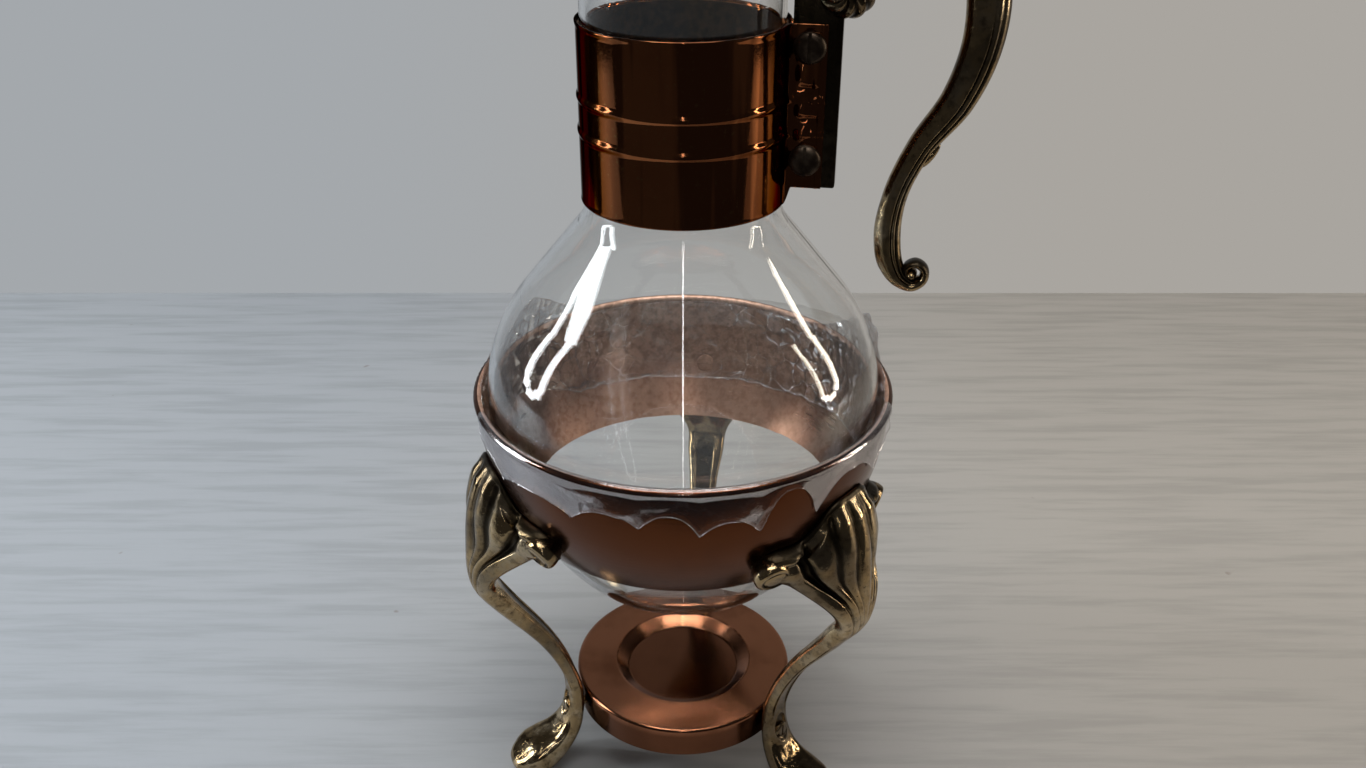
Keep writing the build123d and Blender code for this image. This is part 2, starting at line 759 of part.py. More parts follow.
def barrel_space():
    """Room round the lid's barrel and under its thumb rest, cut out of the head."""
    radius = hinge_barrel_radius + 0.6
    width = hinge_barrel_width / 2 + lug_clearance
    return y_cylinder(hinge_reach, hinge_height, radius, -width, width)


def hinge_pin():
    half = hinge_barrel_width / 2 + lug_clearance + lug_width
    pin = y_cylinder(hinge_reach, hinge_height, hinge_pin_radius, -half, half)
    for side in (-1, 1):
        low = side * (half + seat_clearance)
        high = side * (half + 1.1)
        head = y_cylinder(hinge_reach, hinge_height, hinge_pin_radius + 0.8, min(low, high), max(low, high))
        pin += head
        pin += y_cylinder(hinge_reach, hinge_height, hinge_pin_radius, min(0, high), max(0, high))
    return across(ear_azimuth) * pin


def lid_low_height():
    return glass_rim_height + lid_seat_gap


def lid_profile(inset):
    """Outline of the lid's sheet: a flat rim, a step and a dome, inset by the sheet or not."""
    top = lid_low_height() + lid_sheet - inset
    dome = top + lid_dome_height
    step = lid_step_radius - inset
    step_top = (step - 0.8, top + lid_step_height)
    crown = (knob_foot_radius + 0.6, dome)
    shoulder = (crown[0] + (step_top[0] - crown[0]) * 0.55, dome - (dome - step_top[1]) * 0.25)
    rim = Polyline((lid_radius, top), (step, top), step_top)
    return rim + ThreePointArc(step_top, shoulder, crown) + Line(crown, (0, dome))


def lid_dome():
    """Copper lid with a rolled rim; rivet and screw holes pierced."""
    outer = lid_profile(0)
    inner = lid_profile(lid_sheet)
    closing = Line(outer @ 0, inner @ 0) + Line(outer @ 1, inner @ 1)
    lid = turned(make_face(outer + inner + closing))
    bead_height = lid_low_height() + lid_bead_radius
    lid += turned(Pos(lid_radius, bead_height) * Circle(lid_bead_radius))
    lid -= Pos(0, 0, lid_low_height() + lid_dome_height) * Cylinder(knob_screw_radius + running_clearance, 8)
    lid = across(-ear_azimuth) * lid
    notch_low = lid_low_height() + lid_sheet
    lid -= Pos(lid_radius, 0, notch_low + 2) * Box(4, leaf_width + 1, 4)
    for offset in (-rivet_spread, rivet_spread):
        lid -= Pos(rivet_reach, offset, lid_low_height()) * Cylinder(rivet_radius + running_clearance, 8)
    return across(ear_azimuth) * lid


def lid_collar():
    """Locating ring under the lid, inside the glass neck."""
    top = lid_low_height() - seat_clearance
    return ring(collar_radius - lid_sheet, collar_radius, top - collar_depth, top)


def lid_hinge_leaf():
    """Riveted strap with the hinge barrel and the thumb rest."""
    low = lid_low_height() + lid_sheet + seat_clearance
    length = hinge_reach - leaf_inner_reach
    strap = Box(length, leaf_width, leaf_thickness)
    strap = Pos(leaf_inner_reach + length / 2, 0, low + leaf_thickness / 2) * strap
    neck_half = hinge_barrel_radius + 2.8
    neck_room = Box(2 * neck_half, 2 * leaf_width, 5 * leaf_thickness)
    neck = Box(2 * neck_half, hinge_barrel_width, leaf_thickness)
    strap -= Pos(hinge_reach, 0, low) * neck_room
    strap += Pos(hinge_reach - neck_half, 0, low + leaf_thickness / 2) * neck
    half = hinge_barrel_width / 2
    leaf = strap + y_cylinder(hinge_reach, hinge_height, hinge_barrel_radius, -half, half)
    stem = Box(thumb_rest_thickness, hinge_barrel_width - 1, thumb_rest_length)
    pad = Box(thumb_rest_thickness, thumb_rest_width, thumb_rest_length * 0.5)
    pad = fillet(pad.edges().filter_by(Axis.X), 2.0)
    rest = Pos(0, 0, thumb_rest_length / 2) * stem + Pos(0, 0, thumb_rest_length * 0.78) * pad
    leaf += Pos(hinge_reach, 0, hinge_height) * Rot(0, thumb_rest_tilt, 0) * rest
    leaf -= y_cylinder(hinge_reach, hinge_height, hinge_pin_radius + running_clearance, -half, half)
    for offset in (-rivet_spread, rivet_spread):
        leaf -= Pos(rivet_reach, offset, low) * Cylinder(rivet_radius + running_clearance, 8)
    return across(ear_azimuth) * leaf


def lid_rivets():
    """Two round headed rivets through the strap and the lid's flat rim."""
    low = lid_low_height() - seat_clearance
    high = lid_low_height() + lid_sheet + leaf_thickness + 2 * seat_clearance
    pieces = []
    for offset in (-rivet_spread, rivet_spread):
        shank = Pos(0, 0, (low + high) / 2) * Cylinder(rivet_radius, high - low + 0.2)
        upper = Cylinder(rivet_head_radius, rivet_head_height)
        upper = fillet(upper.edges().sort_by(Axis.Z)[-1], rivet_head_height * 0.7)
        lower = Pos(0, 0, low - rivet_head_height / 2) * Cylinder(rivet_head_radius * 0.8, rivet_head_height)
        rivet = shank + Pos(0, 0, high + rivet_head_height / 2) * upper + lower
        pieces.append(across(ear_azimuth) * Pos(rivet_reach, offset, 0) * rivet)
    return Compound(children=pieces)


def lid_top_height():
    return lid_low_height() + lid_sheet + lid_dome_height


def lid_knob():
    """Turned brass finial."""
    foot = lid_top_height() + seat_clearance
    ball = foot + knob_height - knob_radius
    outline = FilletPolyline(
        (0, foot),
        (knob_foot_radius, foot),
        (knob_foot_radius, foot + 1.6),
        (knob_waist_radius, foot + 3.4),
        (knob_waist_radius, ball - knob_radius * 0.8),
        radius=[0.5, 0.5, 1.0],
    )
    closing = Polyline(outline @ 1, (0, ball - knob_radius * 0.8), (0, foot))
    knob = turned(make_face(outline + closing)) + Pos(0, 0, ball) * Sphere(knob_radius)
    knob += Pos(0, 0, ball + knob_radius) * Sphere(knob_tip_radius)
    bore = knob_screw_length + 0.5
    return knob - Pos(0, 0, foot + bore / 2 - 1) * Cylinder(knob_screw_radius + running_clearance, bore + 2)


def knob_screw():
    """Screw from inside the lid into the finial."""
    seat = lid_top_height() - lid_sheet - seat_clearance
    head = Cylinder(knob_screw_head_radius, knob_screw_head_height)
    head = Pos(0, 0, seat - knob_screw_head_height / 2) * head
    head -= Pos(0, 0, seat - knob_screw_head_height) * Box(knob_screw_head_radius * 3, 0.8, 1.0)
    shank = Pos(0, 0, seat + knob_screw_length / 2) * Cylinder(knob_screw_radius, knob_screw_length)
    return head + shank


def around_legs(piece):
    """The same piece at each leg's azimuth, as separate solids."""
    return Compound(children=[across(azimuth) * piece for azimuth in leg_azimuths.values()])


def all_pieces():
    pieces = {
        "support_bowl": support_bowl(),
        "candle_dish": candle_dish(),
        "leg_screws": around_legs(leg_screw()),
        "dish_screws": around_legs(dish_screw()),
        "dish_nuts": around_legs(dish_nut()),
        "protective_film": protective_film(),
    }
    carafe = {
        "glass_carafe": glass_carafe(),
        "band_liner": band_liner(),
        "neck_band": neck_band(),
        "handle": handle(),
        "ear_screws": ear_screws(),
        "ear_nuts": ear_nuts(),
        "hinge_pin": hinge_pin(),
        "lid_dome": lid_dome(),
        "lid_collar": lid_collar(),
        "lid_hinge_leaf": lid_hinge_leaf(),
        "lid_rivets": lid_rivets(),
        "lid_knob": lid_knob(),
        "knob_screw": knob_screw(),
    }
    for name, piece in carafe.items():
        pieces[name] = Pos(0, 0, carafe_seat()) * piece
    leg = leg_blank()
    for name, azimuth in leg_azimuths.items():
        pieces[name] = across(azimuth) * leg
    return pieces


os.makedirs("parts", exist_ok=True)
for name, piece in all_pieces().items():
    export_step(piece, f"parts/{name}.step")
    print(name)
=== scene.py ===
import bpy
import math
import mathutils
import numpy as np
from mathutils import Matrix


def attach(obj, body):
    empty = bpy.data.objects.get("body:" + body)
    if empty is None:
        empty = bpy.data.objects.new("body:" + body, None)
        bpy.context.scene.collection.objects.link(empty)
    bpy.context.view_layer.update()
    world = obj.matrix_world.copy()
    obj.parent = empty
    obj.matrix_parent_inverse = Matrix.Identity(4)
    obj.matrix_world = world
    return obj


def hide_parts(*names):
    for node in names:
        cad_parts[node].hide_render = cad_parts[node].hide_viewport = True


# A copper and brass warming stand with a glass carafe on it. Lengths in the shape code are
# millimetres and become metres in addPiece. Z is up, and the stand's axis is the Z axis.
metresPerMillimetre = 0.001

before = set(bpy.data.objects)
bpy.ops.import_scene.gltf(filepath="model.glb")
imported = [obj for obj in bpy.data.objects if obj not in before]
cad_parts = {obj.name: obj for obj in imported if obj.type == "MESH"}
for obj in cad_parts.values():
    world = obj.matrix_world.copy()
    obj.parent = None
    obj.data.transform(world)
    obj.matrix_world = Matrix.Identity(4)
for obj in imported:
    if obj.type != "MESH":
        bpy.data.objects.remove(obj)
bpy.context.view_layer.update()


# camera at the photograph's angle: metres behind and above the origin, degrees below level, and a
# lens in millimetres on its sensor
cameraSettings = {"back": 0.4031, "height": 0.3827, "pitch": 28.46, "lens": 32.94, "sensor": 36.0}

cameraData = bpy.data.cameras.new("camera")
cameraData.lens = cameraSettings["lens"]
cameraData.sensor_width = cameraSettings["sensor"]
camera = bpy.data.objects.new("camera", cameraData)
camera.location = (0, -cameraSettings["back"], cameraSettings["height"])
camera.rotation_euler = (math.radians(90 - cameraSettings["pitch"]), 0, 0)
bpy.context.scene.collection.objects.link(camera)
bpy.context.scene.camera = camera
bpy.context.scene.view_settings.view_transform = "Standard"
print("camera placed")


class Wire:
    # A shader socket that adds, multiplies and so on like a number; each step makes one Math node.
    def __init__(self, look, socket):
        self.look = look
        self.socket = socket

    def step(self, operation, *others):
        # a Math node on this value and the others
        node = self.look.tree.nodes.new("ShaderNodeMath")
        node.operation = operation
        for slot, value in zip(node.inputs, (self, *others)):
            self.look.plug(slot, value)
        return Wire(self.look, node.outputs[0])

    def __add__(self, other):
        return self.step("ADD", other)

    def __radd__(self, other):
        return self.step("ADD", other)

    def __sub__(self, other):
        return self.step("SUBTRACT", other)

    def __rsub__(self, other):
        return self.step("MULTIPLY", -1.0).step("ADD", other)

    def __mul__(self, other):
        return self.step("MULTIPLY", other)

    def __rmul__(self, other):
        return self.step("MULTIPLY", other)

    def ramp(self, low, high, start=0.0, end=1.0):
        # goes smoothly from start to end while the value goes from low to high
        return self.look.node("ShaderNodeMapRange", {"interpolation_type": "SMOOTHSTEP"}, {
            "Value": self, "From Min": low, "From Max": high, "To Min": start, "To Max": end})


class Look:
    # One procedural material, or the world. node() adds any node that isn't a Math node: its settings
    # come first, then its inputs.
    def __init__(self, name, world=False):
        if world:
            self.owner = bpy.data.worlds.new(name)
        else:
            self.owner = bpy.data.materials.new(name)
        self.owner.use_nodes = True
        self.tree = self.owner.node_tree
        self.shader = self.tree.nodes.get("Principled BSDF")

    def plug(self, slot, value):
        # a wire becomes a link, a colour gets its alpha, and anything else is set on the socket
        if isinstance(value, Wire):
            self.tree.links.new(value.socket, slot)
        elif hasattr(value, "__len__") and len(value) == 3 and slot.type == "RGBA":
            slot.default_value = (*value, 1.0)
        else:
            slot.default_value = value

    def node(self, kind, settings, inputs, output=0):
        node = self.tree.nodes.new(kind)
        for name, value in settings.items():
            setattr(node, name, value)
        for name, value in inputs.items():
            self.plug(node.inputs[name], value)
        return Wire(self, node.outputs[output])

    def place(self):
        # the object's own coordinates
        return self.node("ShaderNodeTexCoord", {}, {}, "Object")

    def along(self, axis):
        # one of the object's own coordinates, in metres
        return self.node("ShaderNodeSeparateXYZ", {}, {"Vector": self.place()}, axis)

    def attribute(self, name):
        # a value kept at each point of the mesh
        return self.node("ShaderNodeAttribute", {"attribute_name": name}, {}, "Fac")

    def noise(self, scale, detail, roughness, stretch=(1, 1, 1)):
        # cloudy pattern in the object's own coordinates; a low stretch draws it out along that axis
        spot = self.place()
        if stretch != (1, 1, 1):
            spot = self.node("ShaderNodeMapping", {}, {"Vector": spot, "Scale": stretch})
        return self.node("ShaderNodeTexNoise", {}, {
            "Vector": spot, "Scale": scale, "Detail": detail, "Roughness": roughness}, "Fac")

    def mix(self, factor, first, second):
        node = self.tree.nodes.new("ShaderNodeMix")
        node.data_type = "RGBA"
        self.plug(node.inputs[0], factor)
        self.plug(node.inputs[6], first)
        self.plug(node.inputs[7], second)
        return Wire(self, node.outputs[2])

    def bump(self, height, strength, distance):
        return self.node("ShaderNodeBump", {}, {
            "Height": height, "Strength": strength, "Distance": distance}, "Normal")

    def set(self, **values):
        # the shader's own inputs
        names = {"color": "Base Color", "roughness": "Roughness", "metallic": "Metallic",
                 "normal": "Normal", "ior": "IOR", "alpha": "Alpha",
                 "transmission": "Transmission Weight", "tint": "Specular Tint"}
        for name, value in values.items():
            self.plug(self.shader.inputs[names[name]], value)
        return self.owner


def gridFaces(rows, columns, wrap):
    # quads between neighbouring rows and columns of a grid of points, joined round where wrap is true
    across = np.arange(columns if wrap else columns - 1)
    row, column = np.meshgrid(np.arange(rows - 1), across, indexing="ij")
    beside = (column + 1) % columns
    quads = np.stack([row * columns + column, row * columns + beside,
                      (row + 1) * columns + beside, (row + 1) * columns + column], -1)
    return quads.reshape(-1, 4)


def closedTube(points, ends=("pole", "pole")):
    # A grid whose columns run round a loop. Each end row is closed by a fan to its middle, or zipped
    # across, which joins column j with the column the same way back from the first one.
    rows, columns = points.shape[:2]
    vertices = points.reshape(-1, 3)
    quads, triangles = [gridFaces(rows, columns, True)], []
    for end, row in zip(ends, (0, rows - 1)):
        loop = row * columns + np.arange(columns)
        if row == 0:
            loop = loop[::-1]
        if end == "pole":
            middle = np.full(columns, len(vertices))
            vertices = np.vstack([vertices, points[row].mean(0)])
            triangles.append(np.stack([loop, np.roll(loop, -1), middle], -1))
        else:
            half = columns // 2
            near, far = loop[1:half], loop[:half:-1]
            quads.append(np.stack([near[:-1], near[1:], far[1:], far[:-1]], -1))
            triangles.append(np.array([[loop[0], loop[1], loop[-1]],
                                       [loop[half - 1], loop[half], loop[half + 1]]]))
    return vertices, np.vstack(quads), np.vstack(triangles)


def closedRing(points):
    # a grid joined round both ways, such as a thin sheet that goes round the bowl
    rows, columns = points.shape[:2]
    quads = gridFaces(rows + 1, columns, True) % (rows * columns)
    return points.reshape(-1, 3), quads, np.zeros((0, 3), int)


def enclosed(vertices, quads, triangles):
    # six times the volume inside a shell, negative where its faces point inwards
    tris = np.vstack([triangles, quads[:, :3], quads[:, [0, 2, 3]]])
    a, b, c = vertices[tris[:, 0]], vertices[tris[:, 1]], vertices[tris[:, 2]]
    return np.einsum("ij,ij->", a, np.cross(b, c))


def addPiece(name, shells, look, body, nodes, attributes=None):
    # One object from several closed shells, in millimetres, with their faces turned outwards. It rides
    # on a body and takes the place of the CAD nodes named.
    vertices, faces, start = [], [], 0
    for points, quads, triangles in shells:
        turn = 1 if enclosed(points, quads, triangles) > 0 else -1
        faces += (quads[:, ::turn] + start).tolist() + (triangles[:, ::turn] + start).tolist()
        vertices.append(points)
        start += len(points)
    mesh = bpy.data.meshes.new(name)
    mesh.from_pydata((np.vstack(vertices) * metresPerMillimetre).tolist(), [], faces)
    mesh.polygons.foreach_set("use_smooth", np.ones(len(mesh.polygons), bool))
    for key, values in (attributes or {}).items():
        layer = mesh.attributes.new(key, "FLOAT", "POINT")
        layer.data.foreach_set("value", np.asarray(values, np.float32))
    mesh.materials.append(look)
    mesh.update()
    piece = bpy.data.objects.new(name, mesh)
    bpy.context.scene.collection.objects.link(piece)
    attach(piece, body)
    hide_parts(*nodes)
    print("made", name, len(shells), "shells", len(mesh.polygons), "faces")
    return piece


def loopSection(count, squareness):
    # Round loop of a section: how far out and how far across each column is, from -1 to 1. It starts
    # at one edge, so that half of the columns are on the outer side. Squareness 2 is an ellipse.
    angle = 2 * math.pi * np.arange(count) / count
    out, side = np.sin(angle), np.cos(angle)
    power = 2 / squareness
    return np.sign(out) * np.abs(out) ** power, np.sign(side) * np.abs(side) ** power


def smoothRows(keys, values, wanted):
    # Cubic Hermite curve through rows of values at rising keys, with the slope at each key taken
    # from its two neighbours; values may carry any further axes.
    keys, values, wanted = (np.asarray(numbers, float) for numbers in (keys, values, wanted))
    gaps = np.diff(keys)
    steps = np.diff(values, axis=0)
    shape = (-1,) + (1,) * (values.ndim - 1)
    slopes = np.empty_like(values)
    inner = steps / gaps.reshape(shape)
    slopes[1:-1] = ((inner[:-1] * gaps[1:].reshape(shape) + inner[1:] * gaps[:-1].reshape(shape))
                    / (gaps[1:] + gaps[:-1]).reshape(shape))
    slopes[0], slopes[-1] = inner[0], inner[-1]
    cell = np.clip(np.searchsorted(keys, wanted, side="right") - 1, 0, len(keys) - 2)
    width = gaps[cell].reshape(shape)
    t = ((wanted - keys[cell]) / gaps[cell]).reshape(shape)
    a, b = values[cell], values[cell + 1]
    return ((2 * t**3 - 3 * t**2 + 1) * a + (t**3 - 2 * t**2 + t) * width * slopes[cell]
            + (3 * t**2 - 2 * t**3) * b + (t**3 - t**2) * width * slopes[cell + 1])


def between(low, high, value):
    # 0 below low, 1 above high, and a smooth step between
    t = np.clip((value - low) / (high - low), 0, 1)
    return t * t * (3 - 2 * t)


def swung(points, azimuth):
    # points turned about Z by an azimuth in degrees
    cosine, sine = math.cos(math.radians(azimuth)), math.sin(math.radians(azimuth))
    return points @ np.array([[cosine, -sine, 0], [sine, cosine, 0], [0, 0, 1]]).T


# colours are linear, and scales are patches per metre
brassSettings = {
    "bright": (0.345, 0.245, 0.128), "pale": (0.54, 0.43, 0.28), "brown": (0.062, 0.041, 0.023),
    "dark": (0.012, 0.009, 0.006), "patchScale": 85.0, "fineScale": 300.0, "broadScale": 18.0,
    "pitScale": 900.0, "roughLow": 0.09, "roughHigh": 0.25, "bump": 0.28,
}


def agedBrass(name, hollows=None):
    # cast brass with old lacquer: mottled gold and brown, dark in the hollows as dirt and as painted shade
    look = Look(name)
    patches = look.noise(brassSettings["patchScale"], 5, 0.62)
    fine = look.noise(brassSettings["fineScale"], 5, 0.7)
    broad = look.noise(brassSettings["broadScale"], 2, 0.5)
    metal = look.mix(patches.ramp(0.44, 0.62), brassSettings["bright"], brassSettings["pale"])
    metal = look.mix(fine.ramp(0.48, 0.68) * 0.7, metal, brassSettings["brown"])
    stain = (broad + patches * 0.6).ramp(0.72, 0.92)
    metal = look.mix(stain * 0.75, metal, brassSettings["brown"])
    rough = patches.ramp(0.35, 0.7, brassSettings["roughLow"], brassSettings["roughHigh"])
    if hollows:
        # dirt and painted shade: the hollow mask darkens grooves and recesses, and inner faces and edges
        # against the bowl
        grimeAndShade = (look.attribute(hollows) + fine * 0.4 - 0.17).ramp(0.15, 0.75)
        metal = look.mix(grimeAndShade * 0.92, metal, brassSettings["dark"])
        rough = rough + grimeAndShade * 0.18
    pits = look.noise(brassSettings["pitScale"], 2, 0.5)
    relief = patches * 0.6 + pits.ramp(0.55, 0.8, 0, -0.3)
    return look.set(color=metal, metallic=1.0, roughness=rough,
                    normal=look.bump(relief, brassSettings["bump"], 0.0006))


copperSettings = {
    "browned": (0.105, 0.034, 0.012), "tarnish": (0.06, 0.021, 0.009), "inside": (0.86, 0.555, 0.415),
    "bright": (0.30, 0.125, 0.065), "deep": (0.10, 0.038, 0.018), "satinCloud": 26.0, "grain": 60.0,
    "specks": 750.0, "speckle": 330.0, "paintedInnerLight": (0.141, 0.147), "polishedCloud": 35.0,
    "marks": 600.0, "skirtShadeHeights": (0.032, 0.0345),
}


def satinCopper(name):
    # spun copper with a brushed grain round its axis, browned outside; paler inside as painted light,
    # most of all high up; a face is inside where its normal points towards the axis
    look = Look(name)
    level = look.node("ShaderNodeMapping", {}, {"Vector": look.place(), "Scale": (1, 1, 0)})
    facing = look.node("ShaderNodeVectorMath", {"operation": "DOT_PRODUCT"},
                       {0: look.node("ShaderNodeNewGeometry", {}, {}, "Normal"), 1: level}, "Value")
    inside = facing.ramp(-0.004, 0.004, 1.0, 0.0)
    cloud = look.noise(copperSettings["satinCloud"], 4, 0.6)
    grain = look.noise(copperSettings["grain"], 3, 0.6, stretch=(0.6, 0.6, 22.0))
    specks = look.noise(copperSettings["specks"], 2, 0.5)
    metal = look.mix(cloud.ramp(0.42, 0.72) * 0.7, copperSettings["browned"], copperSettings["tarnish"])
    speckle = look.noise(copperSettings["speckle"], 4, 0.7)
    # painted light: the inside takes a pale copper, far paler than the outside
    inner = look.mix(speckle.ramp(0.42, 0.62) * 0.45, copperSettings["inside"], copperSettings["bright"])
    metal = look.mix(inside, metal, inner)
    metal = look.mix(specks.ramp(0.68, 0.8) * 0.5, metal, copperSettings["deep"])
    # painted light: the inside is palest high up and darker low down
    paintedLightHigh = (look.along("Z") + cloud * 0.012).ramp(*copperSettings["paintedInnerLight"])
    metal = look.mix(inside * (1 - paintedLightHigh) * 0.55, metal, copperSettings["bright"])
    rough = cloud.ramp(0.3, 0.75, 0.13, 0.24) + grain * 0.08 + inside * (paintedLightHigh * 0.18 + 0.10)
    return look.set(color=metal, metallic=1.0, roughness=rough,
                    normal=look.bump(grain + specks * 0.15, 0.12, 0.0003))


def polishedCopper(name):
    # bright pressed copper with small marks, darker on the dish's skirt near the table as painted shade
    look = Look(name)
    cloud = look.noise(copperSettings["polishedCloud"], 4, 0.6)
    marks = look.noise(copperSettings["marks"], 3, 0.6)
    metal = look.mix(cloud.ramp(0.42, 0.7) * 0.6, copperSettings["bright"], copperSettings["browned"])
    metal = look.mix(marks.ramp(0.66, 0.8) * 0.4, metal, copperSettings["deep"])
    # painted shade: the skirt low down near the table goes dark
    paintedSkirtShade = look.along("Z").ramp(*copperSettings["skirtShadeHeights"], 0.75, 0.0)
    metal = look.mix(paintedSkirtShade, metal, copperSettings["deep"])
    rough = cloud.ramp(0.3, 0.8, 0.09, 0.2) + marks * 0.05
    return look.set(color=metal, metallic=1.0, roughness=rough, normal=look.bump(marks, 0.05, 0.0002))


darkCopperSettings = {
    "red": (0.30, 0.105, 0.04), "brown": (0.17, 0.055, 0.022), "streak": (0.075, 0.026, 0.012),
    "freckle": (0.30, 0.22, 0.09), "tint": (0.13, 0.105, 0.09), "cloud": 30.0, "freckles": 900.0,
    "streaks": 70.0,
}


def darkCopper(name):
    # old polished copper, browned under its lacquer in upright streaks, freckled where that has worn
    look = Look(name)
    cloud = look.noise(darkCopperSettings["cloud"], 4, 0.6)
    freckles = look.noise(darkCopperSettings["freckles"], 3, 0.65)
    streaks = look.noise(darkCopperSettings["streaks"], 3, 0.6, stretch=(1.0, 1.0, 0.04))
    metal = look.mix(cloud.ramp(0.4, 0.75) * 0.6, darkCopperSettings["red"], darkCopperSettings["brown"])
    metal = look.mix(streaks.ramp(0.47, 0.53) * 0.75, metal, darkCopperSettings["streak"])
    worn = freckles.ramp(0.6, 0.74) * cloud.ramp(0.35, 0.6) * 0.7
    metal = look.mix(worn, metal, darkCopperSettings["freckle"])
    rough = cloud.ramp(0.3, 0.8, 0.05, 0.12) + freckles.ramp(0.55, 0.8, 0, 0.1)
    return look.set(color=metal, metallic=1.0, roughness=rough, tint=darkCopperSettings["tint"],
                    normal=look.bump(freckles, 0.04, 0.0002))


smallPartSettings = {
    "steel": (0.045, 0.031, 0.022), "rubbedSteel": (0.12, 0.09, 0.065), "steelCloud": 160.0,
    "cork": (0.045, 0.026, 0.016), "paleCork": (0.10, 0.055, 0.032), "corkGrain": 240.0,
}


def blackenedSteel(name):
    # old steel fastener, brown-black with a little rubbed metal on its high places
    look = Look(name)
    cloud = look.noise(smallPartSettings["steelCloud"], 4, 0.6)
    metal = look.mix(cloud.ramp(0.4, 0.7), smallPartSettings["steel"], smallPartSettings["rubbedSteel"])
    return look.set(color=metal, metallic=1.0, roughness=cloud.ramp(0.3, 0.7, 0.32, 0.55),
                    normal=look.bump(cloud, 0.15, 0.0004))


def linerCork(name):
    # brown strip between the band and the glass
    look = Look(name)
    grain = look.noise(smallPartSettings["corkGrain"], 5, 0.7)
    colour = look.mix(grain.ramp(0.4, 0.65), smallPartSettings["cork"], smallPartSettings["paleCork"])
    return look.set(color=colour, roughness=grain.ramp(0.3, 0.7, 0.7, 0.95),
                    normal=look.bump(grain, 0.3, 0.0005))


glassSettings = {"colour": (0.985, 0.99, 0.985), "ior": 1.47, "smear": 22.0, "dust": 1400.0}


def clearGlass(name):
    # blown glass with a faint smear and grains of dust, both only in its gloss
    look = Look(name)
    smear = look.noise(glassSettings["smear"], 3, 0.55)
    dust = look.noise(glassSettings["dust"], 2, 0.5)
    rough = smear.ramp(0.5, 0.8, 0.0, 0.035) + dust.ramp(0.74, 0.84, 0.0, 0.12)
    return look.set(color=glassSettings["colour"], transmission=1.0, ior=glassSettings["ior"],
                    roughness=rough, normal=look.bump(smear, 0.03, 0.0005))


castBrass = agedBrass("agedBrass", "hollow")
plainBrass = agedBrass("plainBrass")
bowlCopper = satinCopper("satinCopper")
dishCopper = polishedCopper("polishedCopper")
bandCopper = darkCopper("darkCopper")
oldSteel = blackenedSteel("blackenedSteel")
cork = linerCork("linerCork")
glassLook = clearGlass("clearGlass")

# looks of the CAD nodes that are shown as they are
nodeLooks = {
    "support_bowl": bowlCopper, "candle_dish": dishCopper, "lid_dome": dishCopper,
    "lid_collar": dishCopper, "lid_rivets": plainBrass, "lid_knob": plainBrass,
    "lid_hinge_leaf": plainBrass, "hinge_pin": plainBrass, "ear_screws": oldSteel,
    "ear_nuts": oldSteel, "leg_screws": bowlCopper, "dish_screws": plainBrass,
    "dish_nuts": oldSteel, "knob_screw": oldSteel, "band_liner": cork, "glass_carafe": glassLook,
}
for nodeName, look in nodeLooks.items():
    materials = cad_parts[nodeName].data.materials
    materials.clear()
    materials.append(look)
print("materials made")


# bowl, for what fits round it: radius at its widest, radius of the wall's arc, height, and sheet
bowlSettings = {"wallRadius": 75.0, "arcRadius": 84.3, "widestHeight": 163.2, "sheet": 0.8}

# Legs: reach is the distance from the stand's axis, widths are from the middle, angles are degrees.
legSettings = {
    "azimuths": {"leftLeg": 202.0, "rightLeg": 319.5, "backLeg": 82.0},
    "nodes": {"leftLeg": "leg_left", "rightLeg": "leg_right", "backLeg": "leg_back"},
    # from toe to knee: reach, height, half width, outer and inner thickness
    "stations": (
        (74.3, 2.4, 0.9, 0.7, 0.7), (73.8, 2.9, 3.6, 2.0, 2.0), (72.4, 4.0, 6.4, 3.6, 4.1),
        (69.6, 5.0, 8.8, 5.4, 5.3), (66.0, 6.2, 9.9, 6.9, 6.5), (60.6, 8.9, 9.7, 6.6, 6.4),
        (54.6, 13.0, 8.3, 5.2, 5.0), (50.0, 19.2, 6.9, 4.1, 4.1), (47.6, 27.6, 6.1, 3.2, 3.1),
        (47.4, 36.5, 5.6, 2.9, 2.9), (49.4, 45.4, 5.3, 2.9, 2.9), (52.9, 54.6, 5.2, 3.0, 3.0),
        (57.6, 63.8, 5.2, 3.2, 3.2), (63.2, 72.6, 5.6, 3.5, 3.4), (69.3, 81.3, 6.6, 3.9, 3.7),
        (75.2, 90.2, 8.0, 4.4, 4.1),
    ),
    # from the knee to the shell's edge: thickness of the lobes, of the arms, and behind both
    "lobeThickness": (4.6, 5.0, 5.3, 4.9, 3.7, 1.4, 0.4),
    "armThickness": (4.6, 4.9, 4.7, 4.1, 5.4, 5.0, 0.4),
    "innerThickness": (4.2, 3.9, 3.4, 3.2, 2.0, 0.9, 0.35),
    "kneeHalfAngle": 29.8, "tipHeight": 147.0, "shoulderHeight": 133.5, "tipSpread": 12.0,
    "bulge": 79.9, "bellyHeight": 115.0,
    # grooves, as shares of the half width, and their depths
    "valleys": (0.09, 0.27, 0.52), "valleyDepths": (0.6, 0.7, 1.2, 1.35), "lobeDepth": 2.3,
    "notchPlace": 0.575, "notchWidth": 0.055, "notchDepth": 1.5, "channelDepth": 0.9,
    "spoonDepth": 0.5, "recessDepth": 0.75, "recessSize": (7.5, 0.62), "edgeRise": 0.3,
    "dishZone": (23.0, 36.2), "dishReach": 43.65, "bowlZone": (116.6, 165.0), "bowlGap": 0.05,
    "columns": 300, "rows": 300,
}


def bowlRadius(height):
    # outer wall of the bowl, an arc: widest radius - arc radius + sqrt(arc radius^2 - rise^2), with
    # rise counted from the widest height
    arc = bowlSettings["arcRadius"]
    return bowlSettings["wallRadius"] - arc + np.sqrt(arc**2 - (height - bowlSettings["widestHeight"]) ** 2)


